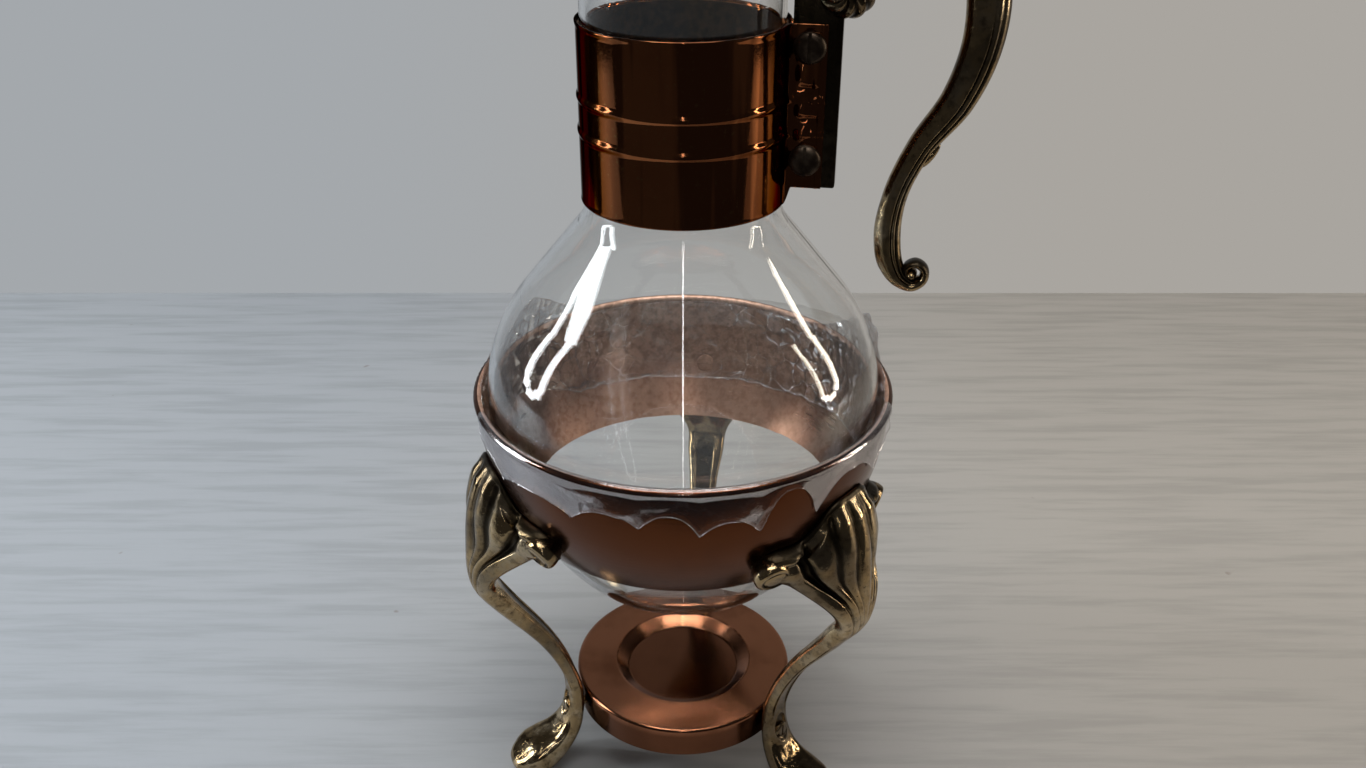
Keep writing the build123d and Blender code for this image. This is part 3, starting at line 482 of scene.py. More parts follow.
def kneeTop(azimuth):
    # upper edge of the shell on the bowl: a shoulder with a rounded tip in the middle, and round ends
    # that follow the bosses
    peak = np.exp(-((azimuth / legSettings["tipSpread"]) ** 4))
    top = legSettings["shoulderHeight"] + (legSettings["tipHeight"] - legSettings["shoulderHeight"]) * peak
    past = np.clip(np.abs(azimuth) - voluteSettings["azimuth"] + 2.5, 0, 6.3) / 6.3
    return top - 6.5 * (1 - np.sqrt(1 - 0.96 * past**2))


def legMiddle(side, sideSquare):
    # Middle sheet of the casting, in rows from the toe to the shell's edge on the bowl. Up to the knee
    # each row is a straight line across the leg; above it the rows spread and wrap round the bowl, each
    # point at its own reach, height and azimuth.
    share = np.abs(side)
    azimuth = side * legSettings["kneeHalfAngle"]
    spread = share * 1.1
    stations = np.array(legSettings["stations"])
    boxy = np.clip(np.interp(stations[:, 1], (6, 20, 30, 75, 92), (0, 0.4, 1, 1, 0.3)), 0, 1)[:, None]
    across = side * (1 - boxy) + sideSquare * boxy
    flat = np.stack([stations[:, :1] + 0 * across, stations[:, 2:3] * across,
                     stations[:, 1:2] + 0 * across], -1)
    top = kneeTop(azimuth)
    endHeight = top - 3.4
    bulge = legSettings["bulge"]
    bellyHeight = legSettings["bellyHeight"] + 3.0 * spread
    bellyReach = bulge - (bulge - bowlRadius(np.maximum(bellyHeight, 116.0)) - 4.5) * 0.62 * spread
    highHeight = (2 * endHeight + bellyHeight) / 3
    # reach, height, and share of the full azimuth
    knee = [
        (np.full_like(side, 80.0), 98.0 + 0.6 * share, 0.215),
        (80.5 - 1.4 * spread, 106.0 + 1.5 * share, 0.335),
        (bellyReach, bellyHeight, 0.62),
        (bowlRadius(highHeight) + 4.6 + 3.0 * (1 - spread), highHeight, 0.905),
        (bowlRadius(endHeight) + 1.7, endHeight, 0.985),
        (bowlRadius(top) + 0.8, top, 1.0),
        (bowlRadius(top + 1.3) + 0.4, top + 1.3, 1.01),
    ]
    angles = [np.radians(azimuth * width) for _, _, width in knee]
    wrapped = np.array([np.stack([reach * np.cos(angle), reach * np.sin(angle), height], -1)
                        for (reach, height, _), angle in zip(knee, angles)])
    return np.concatenate([flat, wrapped])


def legShell():
    # The middle sheet moved out and in along its own normal by the casting's thickness, less the
    # grooves between the lobes, the channels, the spoon and the recess. Columns run round the section:
    # half of them are the outer face.
    rounded, side = loopSection(legSettings["columns"], 2.3)
    square, sideSquare = loopSection(legSettings["columns"], 3.4)
    share = np.abs(side)
    stations = np.array(legSettings["stations"])
    middle = legMiddle(side, sideSquare)
    ridge = middle[:, len(side) // 4]
    keys = np.concatenate([[0], np.cumsum(np.linalg.norm(np.diff(ridge, axis=0), axis=1))])
    wanted = np.linspace(0, keys[-1], legSettings["rows"])
    sheet = smoothRows(keys, middle, wanted)
    lobes = smoothRows(keys, np.append(stations[:, 3], legSettings["lobeThickness"]), wanted)
    arms = smoothRows(keys, np.append(stations[:, 3], legSettings["armThickness"]), wanted)
    inner = smoothRows(keys, np.append(stations[:, 4], legSettings["innerThickness"]), wanted)[:, None]
    valleys = legSettings["valleys"]
    onArm = between(valleys[-1] - 0.02, valleys[-1] + 0.03, share)[None, :]
    outer = lobes[:, None] * (1 - onArm) + arms[:, None] * onArm
    normal = np.cross(slopeAcross(sheet, side), np.gradient(sheet, axis=0))
    normal /= np.linalg.norm(normal, axis=-1, keepdims=True)
    isOuter = rounded > 0
    kneeStart, lobeEnd = keys[len(stations)], keys[-2]
    # five lobes between two smooth arms: the grooves start shallow at the neck, deepen up the shell
    # and end just short of its edge; a wide notch parts the lobes from each arm
    place = np.interp(share, (0, *valleys, 0.66, 1.0), (0, 0.5, 1.5, 2.5, 3.0, 3.0))
    bend = (2 * (place - np.round(place))) ** 2
    lobe = 0.2 * bend + 0.8 * (1 - np.sqrt(np.clip(1 - bend * 0.985, 0, 1)))
    lobe *= np.interp(share, (0, *valleys), legSettings["valleyDepths"])
    notch = np.exp(-(((share - legSettings["notchPlace"]) / legSettings["notchWidth"]) ** 2))
    cut = lobe + notch * legSettings["notchDepth"] / legSettings["lobeDepth"]
    started = 0.3 * between(kneeStart - 8, kneeStart + 4, wanted)
    started = (started + 0.7 * between(kneeStart + 2, kneeStart + 28, wanted))[:, None]
    ended = 1 - between(lobeEnd - 2.0, lobeEnd + 1.2, wanted[:, None])
    groove = cut[None, :] * started * ended * isOuter
    # channels along both faces of the shank, and a shallow spoon on the foot
    onShank = 1 - between(kneeStart - 12, kneeStart - 2, wanted[:, None])
    aboveAnkle = between(keys[8], keys[10], wanted[:, None])
    onFoot = (1 - between(keys[6], keys[8], wanted))[:, None] * between(keys[1], keys[3], wanted)[:, None]
    flatMiddle = (1 - between(0.50, 0.66, np.abs(sideSquare)))[None, :]
    channel = flatMiddle * onShank * aboveAnkle * np.where(isOuter, 0.7, 1.0)
    spoon = (1 - between(0.35, 0.82, share))[None, :] * isOuter * onFoot
    # oval recess round the dish screw on the outer face of the ankle
    screwKey = keys[8]
    long, wide = legSettings["recessSize"]
    oval = np.hypot((wanted[:, None] - screwKey) / long, np.abs(sideSquare)[None, :] / wide)
    ring = np.exp(-(((oval - 1) / 0.13) ** 2)) * isOuter
    recess = (1 - between(0.72, 1.0, oval)) * isOuter
    depth = (legSettings["lobeDepth"] * groove + legSettings["channelDepth"] * channel
             + legSettings["spoonDepth"] * spoon + legSettings["recessDepth"] * recess
             - legSettings["edgeRise"] * ring)
    kneeShare = between(kneeStart - 8, kneeStart + 6, wanted)[:, None]
    outward = rounded[None, :] * kneeShare + square[None, :] * (1 - kneeShare)
    sunk = depth * np.sign(rounded)[None, :] * np.abs(rounded)[None, :] ** 0.3
    thick = np.where(isOuter, outer, inner) * outward - sunk
    points = sheet + normal * thick[:, :, None]
    points[:, :, 2] = np.maximum(points[:, :, 2], 0.0)
    # darkness for the brass: grooves, channels and the recess as dirt and painted shade; the inner face and
    # the shell's edge on the bowl as painted shade
    hollow = np.clip(groove * 1.3 + channel * 0.55 + ring * 0.1 + recess * 0.5 + (~isOuter) * 0.2, 0, 1)
    hollow = np.maximum(hollow, between(lobeEnd - 1.0, lobeEnd + 0.8, wanted)[:, None])
    return clearOfBowl(points), hollow


def slopeAcross(sheet, side):
    # direction across the middle sheet at each point, from the columns beside it in order of side
    order = np.argsort(side, kind="stable")
    sortedRows = sheet[:, order]
    reach = 6
    high = np.minimum(np.arange(len(order)) + reach, len(order) - 1)
    low = np.maximum(np.arange(len(order)) - reach, 0)
    slope = sortedRows[:, high] - sortedRows[:, low]
    back = np.empty_like(order)
    back[order] = np.arange(len(order))
    return slope[:, back]


def clearOfBowl(points):
    # points behind the bowl's wall move out onto it, and points at the ankle stay clear of the dish
    reach = np.hypot(points[..., 0], points[..., 1])
    height = points[..., 2]
    low, high = legSettings["bowlZone"]
    wall = bowlRadius(np.clip(height, low, high)) + legSettings["bowlGap"]
    wanted = np.where(height > 115.9, np.maximum(reach, wall), reach)
    low, high = legSettings["dishZone"]
    wanted = np.where((height > low) & (height < high), np.maximum(wanted, legSettings["dishReach"]), wanted)
    return points * np.stack([wanted / reach, wanted / reach, np.ones_like(reach)], -1)


# Volutes: bosses at the ends of the shell's two arms. The profile is radius and height above the bowl.
voluteSettings = {
    "height": 128.4, "azimuth": 25.0, "rows": 60, "columns": 72, "grooveRadius": 4.55, "eyeShift": (0.9, 0.8),
    "profile": (
        (5.4, -0.8), (6.0, 1.2), (6.4, 3.0), (6.5, 4.8), (6.2, 6.1), (5.6, 6.8), (5.1, 6.9),
        (4.75, 6.6), (4.55, 5.9), (4.35, 6.2), (3.9, 6.6), (2.8, 6.8), (1.4, 6.85), (0.6, 6.85),
    ),
}


def voluteShell(side):
    # Turned boss: the profile goes up the side, over a rim, down into a narrow groove and over a broad,
    # nearly flat eye, and each point of it turns round the boss's axis. The eye lies off centre, so the
    # rim is widest at the arm's end. The axis stands square on the bowl's wall.
    profile = np.array(voluteSettings["profile"])
    keys = np.arange(len(profile))
    rows = smoothRows(keys, profile, np.linspace(0, keys[-1], voluteSettings["rows"]))
    turn = np.linspace(0, 2 * math.pi, voluteSettings["columns"], endpoint=False)
    inEye = between(5.4, 6.5, rows[:, 1:]) * (1 - between(4.5, 5.9, rows[:, :1]))
    shiftAcross, shiftUp = voluteSettings["eyeShift"]
    x = rows[:, :1] * np.cos(turn) - shiftAcross * inEye
    y = rows[:, :1] * np.sin(turn) * (1 - 0.1 * inEye) - shiftUp * inEye
    z = rows[:, 1:] + 0 * turn
    height, arc = voluteSettings["height"], bowlSettings["arcRadius"]
    # 9.3 is how far the arc's centre lies beyond the axis
    out = np.array([bowlRadius(height) + 9.3, height - bowlSettings["widestHeight"]]) / arc
    across, up, outward = np.array([0, 1, 0]), np.array([-out[1], 0, out[0]]), np.array([out[0], 0, out[1]])
    base = np.array([bowlRadius(height), 0, height])
    points = base + x[..., None] * across * side + y[..., None] * up + z[..., None] * outward
    # darkness for the brass: the groove round the eye as dirt and painted shade, the low sides next to the
    # bowl as painted shade
    inGroove = np.exp(-(((rows[:, :1] - voluteSettings["grooveRadius"]) / 0.4) ** 2))
    hollow = inGroove * (rows[:, 1:] > 5) + 0 * turn
    return swung(points, side * voluteSettings["azimuth"]), np.clip(hollow + (rows[:, 1:] < 3) * 0.6, 0, 1)


legGrid, legHollow = legShell()
for legName, azimuth in legSettings["azimuths"].items():
    shells = [closedTube(swung(legGrid, azimuth), ("pole", "zip"))]
    hollows = [legHollow.ravel(), [0.0]]
    for side in (-1, 1):
        volute, voluteHollow = voluteShell(side)
        shells.append(closedTube(swung(volute, azimuth)))
        # the boss's pole against the bowl is fully dark, painted shade
        hollows += [voluteHollow.ravel(), [1.0, 0.0]]
    addPiece(legName, shells, castBrass, "stand", [legSettings["nodes"][legName]],
             {"hollow": np.concatenate(hollows)})


# Handle, in the carafe's own frame, with the handle along X and the glass's foot at height 0.
handleSettings = {
    "azimuth": -10.0, "seat": 88.53, "rows": 420, "columns": 128,
    # from the head over the arch and the tail to the scroll: reach, height, depth and width
    "stations": (
        (53.0, 219.0, 13.0, 13.0), (62.0, 223.8, 12.4, 12.6), (69.6, 232.4, 12.4, 12.2),
        (78.6, 237.4, 12.6, 11.8), (87.2, 234.2, 13.0, 11.6), (92.4, 226.0, 13.4, 11.3),
        (93.9, 216.5, 13.6, 11.0), (93.1, 201.6, 12.6, 10.4), (87.9, 185.8, 11.2, 9.7),
        (77.3, 169.4, 8.8, 9.0), (70.6, 152.2, 8.2, 8.6), (69.3, 138.4, 9.0, 8.4),
        (71.0, 129.2, 8.4, 8.2), (74.6, 123.6, 6.2, 8.0), (79.0, 121.8, 4.6, 7.8),
        (82.4, 124.2, 3.6, 7.4), (82.3, 127.8, 3.1, 7.0), (79.4, 129.6, 2.8, 6.6),
        (76.6, 128.0, 2.5, 6.4), (76.9, 125.4, 2.3, 6.2), (78.6, 124.9, 2.0, 6.0),
    ),
    # bead and the two grooves beside it: place on the section from 0 to 1, width and size
    "carving": ((0.48, 0.08, 0.045), (0.30, 0.065, -0.12), (0.66, 0.07, -0.13)),
    "head": (51.5, 0, 218.5), "headRadii": (9.3, 7.5, 9.3), "headFlutes": 9,
    "bud": (81.2, 0, 167.6), "budRadii": (5.0, 2.1, 1.5), "budLean": 1.0,
    "eye": (78.4, 0, 125.9), "eyeRadii": (1.9, 4.6, 1.9),
    "tangLow": (35.2, 154.6), "tangHigh": (50.8, 216.0), "tangHalf": 1.98,
    "lugEye": (41.8, 230.5), "lugRadius": 3.9, "lugSide": 4.5, "lugHalf": 1.3,
}


def onCarafe(points):
    # from the carafe's own frame, with the handle along X, to its place on the stand
    return swung(points, handleSettings["azimuth"]) + np.array([0, 0, handleSettings["seat"]])


def handleArm():
    # An S-shaped bar along a smooth path, from the head over the arch and down the tail into the coil
    # of its end scroll. The section is an oval, scaled down along two grooves on each side of its outer
    # half and up along the bead between them; the grooves stop at the arch and at the coil.
    stations = np.array(handleSettings["stations"])
    keys = np.concatenate([[0], np.cumsum(np.hypot(*np.diff(stations[:, :2], axis=0).T))])
    wanted = np.linspace(0, keys[-1], handleSettings["rows"])
    rows = smoothRows(keys, stations, wanted)
    heading = np.gradient(rows[:, :2], axis=0)
    heading /= np.linalg.norm(heading, axis=1, keepdims=True)
    # the outer side of the S is on the left of the heading
    outward = np.stack([-heading[:, 1], heading[:, 0]], -1)
    out, side = loopSection(handleSettings["columns"], 2.0)
    onTail = between(keys[4], keys[8], wanted) * (1 - between(keys[13], keys[15], wanted))
    isOuter = (out > 0)
    beads = sum(size * np.exp(-(((out - place) / wide) ** 2))
                for place, wide, size in handleSettings["carving"])
    carve = onTail[:, None] * (beads * isOuter)[None, :]
    depth = rows[:, 2:3] / 2 * out[None, :] * (1 + carve)
    breadth = rows[:, 3:4] / 2 * side[None, :] * (1 + carve)
    points = np.stack([rows[:, :1] + outward[:, :1] * depth, breadth,
                       rows[:, 1:2] + outward[:, 1:] * depth], -1)
    inCoil = between(keys[14], keys[17], wanted)[:, None]
    # darkness for the brass: the grooves as dirt and painted shade, the inner side of the coil as painted
    # shade
    hollow = np.clip(-carve * 8.5, 0, 1) + inCoil * (1 - isOuter)[None, :] * 0.9
    return closedTube(points), np.clip(hollow, 0, 1)


def roundShell(centre, radii, rows, columns, shape):
    # Closed egg round a centre: latitude and longitude on a sphere, each point moved out by shape,
    # a function of the two angles; the poles point along Y.
    rise = np.linspace(-math.pi / 2, math.pi / 2, rows)[1:-1, None]
    turn = np.linspace(0, 2 * math.pi, columns, endpoint=False)[None, :]
    size, hollow = shape(rise, turn)
    ball = np.stack([np.cos(rise) * np.cos(turn), np.sin(rise) + 0 * turn, np.cos(rise) * np.sin(turn)], -1)
    points = np.asarray(centre) + ball * np.asarray(radii) * size[..., None]
    return closedTube(points), hollow


def flutedHead(rise, turn):
    # shell flutes that wind round the head a little from side to side
    wave = np.abs(np.cos(handleSettings["headFlutes"] / 2 * (turn + 0.8 * rise)))
    fade = np.cos(rise) ** 0.5
    squarer = (np.abs(np.cos(rise)) ** 2.6 + np.abs(np.sin(rise)) ** 2.6) ** (-1 / 2.6)
    return squarer * (1 - 0.13 * (1 - wave) * fade), np.clip((1 - wave) * fade * 1.2, 0, 1)


def slab(outline, low, high, bevel):
    # Flat plate along Y. The rows carry the outline from one face to the other and shrink it towards
    # its middle over the bevel at both faces.
    middle = outline.mean(0)
    size = np.abs(outline - middle).max()
    levels = np.array([
        (low, 1 - bevel / size), (low + bevel * 0.3, 1 - bevel * 0.3 / size), (low + bevel, 1.0),
        (high - bevel, 1.0), (high - bevel * 0.3, 1 - bevel * 0.3 / size), (high, 1 - bevel / size)])
    rows = np.repeat(levels, (2, 1, 1, 1, 1, 2), axis=0)
    rows[0, 1] *= 0.6
    rows[-1, 1] *= 0.6
    flat = middle + (outline - middle) * rows[:, 1:, None]
    points = np.stack([flat[..., 0], rows[:, :1] + 0 * flat[..., 0], flat[..., 1]], -1)
    return closedTube(points)


def roundedBox(low, high, corner, count=10):
    # outline of a rectangle with round corners, from its lowest and highest corner
    low, high = np.asarray(low, float), np.asarray(high, float)
    turn = np.linspace(0, math.pi / 2, count)
    quarter = np.stack([np.cos(turn), np.sin(turn)], -1)
    signs = np.array([(1, 1), (-1, 1), (-1, -1), (1, -1)])
    starts = (low + high) / 2 + signs * ((high - low) / 2 - corner)
    turns = np.array([[[1, 0], [0, 1]], [[0, -1], [1, 0]], [[-1, 0], [0, -1]], [[0, 1], [-1, 0]]])
    return np.concatenate([start + corner * quarter @ turned.T for start, turned in zip(starts, turns)])


def lugOutline():
    # eye of the hinge lug, with straight sides down into the head
    (x, z), radius = handleSettings["lugEye"], handleSettings["lugRadius"]
    turn = np.linspace(0, math.pi, 28)
    eye = np.stack([x + radius * np.cos(turn), z + radius * np.sin(turn)], -1)
    foot = np.array([(37.9, 226.0), (38.2, 221.0), (45.4, 221.0), (45.7, 226.0)])
    return np.vstack([eye, foot])


def budShape(rise, turn):
    # an egg, a little thicker at one end
    return 1 - 0.12 * np.cos(turn) + 0 * rise, 0.2 + 0 * rise + 0 * turn


def eyeShape(rise, turn):
    # a plain ball that the radii flatten
    return 1 + 0 * rise + 0 * turn, 0.4 + 0 * rise + 0 * turn


def makeHandle():
    # arm, head, bud on the tail, eye of the scroll, tang between the band's ears, and two hinge lugs
    arm, armHollow = handleArm()
    head, headHollow = roundShell(handleSettings["head"], handleSettings["headRadii"], 60, 160, flutedHead)
    (bud, *budFaces), budHollow = roundShell((0, 0, 0), handleSettings["budRadii"], 20, 32, budShape)
    cosine, sine = math.cos(handleSettings["budLean"]), math.sin(handleSettings["budLean"])
    bud = np.stack([bud[:, 0] * cosine - bud[:, 2] * sine, bud[:, 1],
                    bud[:, 0] * sine + bud[:, 2] * cosine], -1)
    bud = bud + handleSettings["bud"]
    eye, eyeHollow = roundShell(handleSettings["eye"], handleSettings["eyeRadii"], 20, 32, eyeShape)
    half = handleSettings["tangHalf"]
    tang = slab(roundedBox(handleSettings["tangLow"], handleSettings["tangHigh"], 0.8), -half, half, 0.35)
    half = handleSettings["lugHalf"]
    places = [side * handleSettings["lugSide"] for side in (-1, 1)]
    lugs = [slab(lugOutline(), place - half, place + half, 0.4) for place in places]
    shells = [arm, head, (bud, *budFaces), eye, tang, *lugs]
    hollows = [armHollow, headHollow, budHollow, eyeHollow]
    values = [np.concatenate([hollow.ravel(), [0.3, 0.3]]) for hollow in hollows]
    # the tang and the lugs are darkened at 0.75; on the tang, between the band's ears, that is painted shade
    values += [np.full(len(shell[0]), 0.75) for shell in shells[4:]]
    placed = [(onCarafe(points), quads, triangles) for points, quads, triangles in shells]
    addPiece("castHandle", placed, castBrass, "carafe", ["handle"],
             {"hollow": np.concatenate(values)})


makeHandle()


# Film: a ring of thin clear sheet inside the bowl, folded over the front of the rim. What changes
# round the bowl is given as pairs of azimuth, in degrees, and value.
filmSettings = {
    "thickness": 0.12, "flat": (0.459, 0.0408), "columns": 640, "rows": 66, "waves": 11,
    "foldFrom": 196.0, "foldTo": 349.0, "foldRadius": 74.6, "foldHeight": 165.0, "foldSize": (1.95, 2.05),
    "insideTop": 163.4, "outsideTop": 164.6, "hangReach": 74.9, "standReach": 73.0, "standLimit": 76.5,
    "bottom": ((0, 136.0), (40, 133.0), (90, 131.0), (130, 133.0), (160, 146.0), (180, 140.0),
               (220, 133.0), (360, 136.0)),
    "top": ((0, 172.0), (3, 184.0), (12, 186.0), (20, 181.0), (34, 170.0), (50, 164.2), (90, 163.8),
            (122, 164.2), (138, 177.0), (148, 184.0), (156, 182.0), (166, 177.0), (180, 170.0),
            (192, 167.0), (352, 167.0), (360, 172.0)),
    "rough": ((0, 1.1), (30, 1.3), (60, 0.7), (90, 0.35), (120, 0.6), (150, 1.2), (190, 1.3),
              (225, 0.7), (270, 0.5), (310, 0.7), (345, 1.2), (360, 1.1)),
    # hem of the hanging front: points, and the height of the arch after each of them
    "tips": ((186, 152.0), (216, 151.5), (241, 150.0), (259, 151.0), (274, 148.8), (289.5, 148.0),
             (306, 148.6), (330, 151.0), (356, 152.0)),
    "arcs": (158.0, 154.5, 155.5, 157.0, 154.0, 162.5, 160.0, 158.0),
}

filmLookSettings = {
    "colour": (0.93, 0.92, 0.94), "ior": 1.4, "creases": 260.0, "haze": 45.0, "folds": 95.0, "bend": 60.0,
    "bendReach": 0.012, "facets": 120.0, "shards": 170.0, "densest": 0.55,
}

# outer wall of the glass above its foot: where two arcs meet, and each arc's middle and radius
carafeSettings = {
    "belly": 75.0, "lowMiddle": -34.0, "lowRadius": 105.0, "highMiddle": 8.5, "highRadius": 62.5,
}


def glassOuter(height):
    # outer wall of the carafe: one arc up to the belly and a smaller one above it, each of them its
    # middle + sqrt(radius^2 - rise^2)
    rise = height - handleSettings["seat"] - carafeSettings["belly"]
    lowArc = np.sqrt(np.clip(carafeSettings["lowRadius"] ** 2 - rise**2, 0, None))
    highArc = np.sqrt(np.clip(carafeSettings["highRadius"] ** 2 - rise**2, 0, None))
    return np.where(rise < 0, carafeSettings["lowMiddle"] + lowArc, carafeSettings["highMiddle"] + highArc)


def clearFilm():
    # Clear sheet as a mirror that is mostly see-through. Its cover grows at grazing angles, along the
    # creases and at the edges, and its bump breaks what it mirrors into shards where it is crumpled.
    look = Look("clearFilm")
    creases = look.noise(filmLookSettings["creases"], 3, 0.6)
    haze = look.noise(filmLookSettings["haze"], 3, 0.6)
    shine = look.node("ShaderNodeFresnel", {}, {"IOR": filmLookSettings["ior"]})
    folds = look.noise(filmLookSettings["folds"], 4, 0.55)
    ridges = (folds - 0.5).step("ABSOLUTE").ramp(0.0, 0.014, 1.0, 0.0)
    drift = look.node("ShaderNodeTexNoise", {}, {
        "Vector": look.place(), "Scale": filmLookSettings["bend"]}, "Color")
    bent = look.node("ShaderNodeVectorMath", {"operation": "MULTIPLY_ADD"}, {
        0: drift, 1: (filmLookSettings["bendReach"],) * 3, 2: look.place()})
    facets = look.node("ShaderNodeTexVoronoi", {"feature": "DISTANCE_TO_EDGE"}, {
        "Vector": bent, "Scale": filmLookSettings["facets"]}, "Distance")
    shards = look.node("ShaderNodeTexVoronoi", {}, {
        "Vector": bent, "Scale": filmLookSettings["shards"]}, "Distance")
    crumple = look.attribute("crumple")
    cover = shine * 0.62 + haze.ramp(0.35, 0.75, 0.01, 0.04) + ridges * 0.08
    cover = cover + facets.ramp(0.0, 0.05, 0.9, 0.0) * crumple + look.attribute("border") * 0.3
    relief = creases * 0.5 + shards * crumple * 3
    return look.set(color=filmLookSettings["colour"], metallic=1.0,
                    alpha=cover.step("MINIMUM", filmLookSettings["densest"]),
                    roughness=haze.ramp(0.4, 0.75, 0.06, 0.18), normal=look.bump(relief, 0.35, 0.001))


def alongTurn(pairs, turn):
    # value at each azimuth, in degrees, between the given azimuths
    keys, values = zip(*pairs)
    return np.interp(turn, keys, values)


def hemHeight(turn):
    # lower edge of the hanging front: points with round arches between them
    tips = np.array(filmSettings["tips"])
    span = np.clip(np.searchsorted(tips[:, 0], turn) - 1, 0, len(tips) - 2)
    low, high = tips[span, 0], tips[span + 1, 0]
    share = np.clip((turn - low) / (high - low), 0, 1)
    edge = tips[span, 1] * (1 - share) + tips[span + 1, 1] * share
    arch = np.array(filmSettings["arcs"])[span]
    return arch - (arch - edge) * np.abs(2 * share - 1) ** 2.4


def crumpled(turn, along):
    # creases of crumpled film: a sum of triangle waves in many directions, each one bent by the sum
    # of those before it
    rng = np.random.default_rng(11)
    height = np.zeros(np.broadcast(turn, along).shape)
    for index in range(filmSettings["waves"]):
        count = rng.integers(5 + 2 * index, 14 + 5 * index) * rng.choice((-1, 1))
        wave = count * turn / 360 + along / rng.uniform(10, 46) + rng.uniform() + 0.3 * height
        height = height + (2 * np.abs(2 * (wave - np.floor(wave + 0.5))) - 1) / (1.6 + 0.42 * index)
    return height / 2.2


def filmSheet():
    # Each column goes up the inside of the bowl to the rim; then it either folds over the rim and hangs
    # down to the hem, or stands up beside the glass. The two runs are blended at the fold's ends.
    # Gives the points, how near each one is to an edge, and how crumpled it is.
    turn = np.linspace(0, 360, filmSettings["columns"], endpoint=False)[None, :]
    rough = alongTurn(filmSettings["rough"], turn)
    climb = np.linspace(0, 1, 15)[:, None]
    bottom = alongTurn(filmSettings["bottom"], turn) + 1.2 * crumpled(turn, 40.0)
    inside = bottom + (filmSettings["insideTop"] - bottom) * climb
    innerWall = bowlRadius(inside) - bowlSettings["sheet"]
    room = innerWall - glassOuter(inside) - 0.35
    swell = (0.6 + 1.1 * rough) * (0.45 + 0.55 * crumpled(turn, inside))
    gap = 0.55 + swell * np.clip((inside - 124) / 30, 0.2, 1)
    insideReach = innerWall - np.clip(gap, 0.2, np.maximum(room, 0.3))
    over = np.linspace(math.pi, 0, 5)[:, None] + 0 * turn
    across, up = filmSettings["foldSize"]
    overReach = filmSettings["foldRadius"] + across * np.cos(over)
    overHeight = filmSettings["foldHeight"] + up * np.sin(over)
    fall = np.linspace(0, 1, 9)[1:, None]
    outside = filmSettings["outsideTop"] + (hemHeight(turn) - filmSettings["outsideTop"]) * fall
    flare = 0.35 + (0.35 + 0.5 * rough) * np.clip(crumpled(turn, outside + 60) + 0.8, 0, 2) * fall
    wall = bowlRadius(outside)
    outsideReach = np.maximum(wall, filmSettings["hangReach"] - 9 * fall) + 0.25 + flare
    outsideReach = np.maximum(wall + 0.3, np.minimum(outsideReach, wall + 2.6))
    top = alongTurn(filmSettings["top"], turn) + 0.8 * crumpled(turn, 90.0)
    stand = np.linspace(0, 1, 14)[1:, None]
    standing = 163.6 + (np.maximum(top, 163.9) - 163.6) * stand
    sway = 1.1 * rough * crumpled(turn, standing) * np.clip((standing - 164) / 6, 0, 1)
    lean = filmSettings["standReach"] - 0.14 * (standing - 165) + sway
    standingReach = np.clip(lean, glassOuter(standing) + 0.5, filmSettings["standLimit"])
    start, end = filmSettings["foldFrom"], filmSettings["foldTo"]
    folded = between(start - 7, start + 7, turn) * (1 - between(end - 6, end + 6, turn))
    reach = np.concatenate([overReach, outsideReach]) * folded + standingReach * (1 - folded)
    height = np.concatenate([overHeight, outside]) * folded + standing * (1 - folded)
    reach = np.concatenate([insideReach, reach])
    height = np.concatenate([inside, height])
    keys = np.arange(len(reach))
    wanted = np.linspace(0, keys[-1], filmSettings["rows"])
    rows = smoothRows(keys, np.stack([reach, height], -1), wanted)
    angle = np.radians(turn) + 0 * rows[..., 0]
    row = wanted[:, None]
    edges = np.maximum(np.exp(-((row / 0.35) ** 2)), np.exp(-(((keys[-1] - row) / 0.25) ** 2)))
    crumple = np.clip(rough - 0.3, 0, 1) * (1 - folded * between(14, 16, row))
    points = np.stack([rows[..., 0] * np.cos(angle), rows[..., 0] * np.sin(angle), rows[..., 1]], -1)
    return points, edges + 0 * turn, crumple


def makeFilm():
    # the sheet moved half its thickness along its normal to both sides, and closed at its edges
    sheet, border, crumple = filmSheet()
    across = np.roll(sheet, -1, axis=1) - np.roll(sheet, 1, axis=1)
    normal = np.cross(across, np.gradient(sheet, axis=0))
    normal /= np.maximum(np.linalg.norm(normal, axis=-1, keepdims=True), 1e-9)
    half = normal * filmSettings["thickness"] / 2
    loop = np.concatenate([sheet + half, (sheet - half)[::-1]])
    marks = {name: np.concatenate([values, values[::-1]]).ravel()
             for name, values in {"border": border, "crumple": crumple}.items()}
    film = addPiece("clearFilmSheet", [closedRing(loop)], clearFilm(), "stand",
                    ["protective_film"], marks)


makeFilm()


# Neck band: a copper strip round the neck, both its ends bent out as ears that clamp the handle.
bandSettings = {
    "middleRadius": 33.92, "thickness": 0.78, "earSide": 2.47, "earReach": 46.35, "fillet": 3.0,
    "low": 149.05, "high": 207.8, "earLow": 154.65, "ribHeights": (172.77, 184.06), "ribRise": 0.52,
    "ribHalf": 1.15, "lipRoll": 0.28, "footRoll": 0.14, "hemRise": 0.3,
    "rows": 120, "ringColumns": 220, "earColumns": 30,
    # on the front ear: reach, height, size along both, and depth
    "dents": ((38.6, 192.5, 1.5, 2.6, 1.0), (40.4, 187.4, 3.4, 1.2, -0.8), (38.6, 180.5, 1.5, 2.2, 0.9),
              (41.6, 177.6, 3.2, 1.0, -0.75), (39.2, 172.6, 2.0, 2.4, 1.0), (43.4, 190.0, 1.1, 2.6, 0.5),
              (37.9, 198.0, 1.2, 1.8, 0.6), (42.6, 183.0, 1.2, 1.8, 0.5)),
}


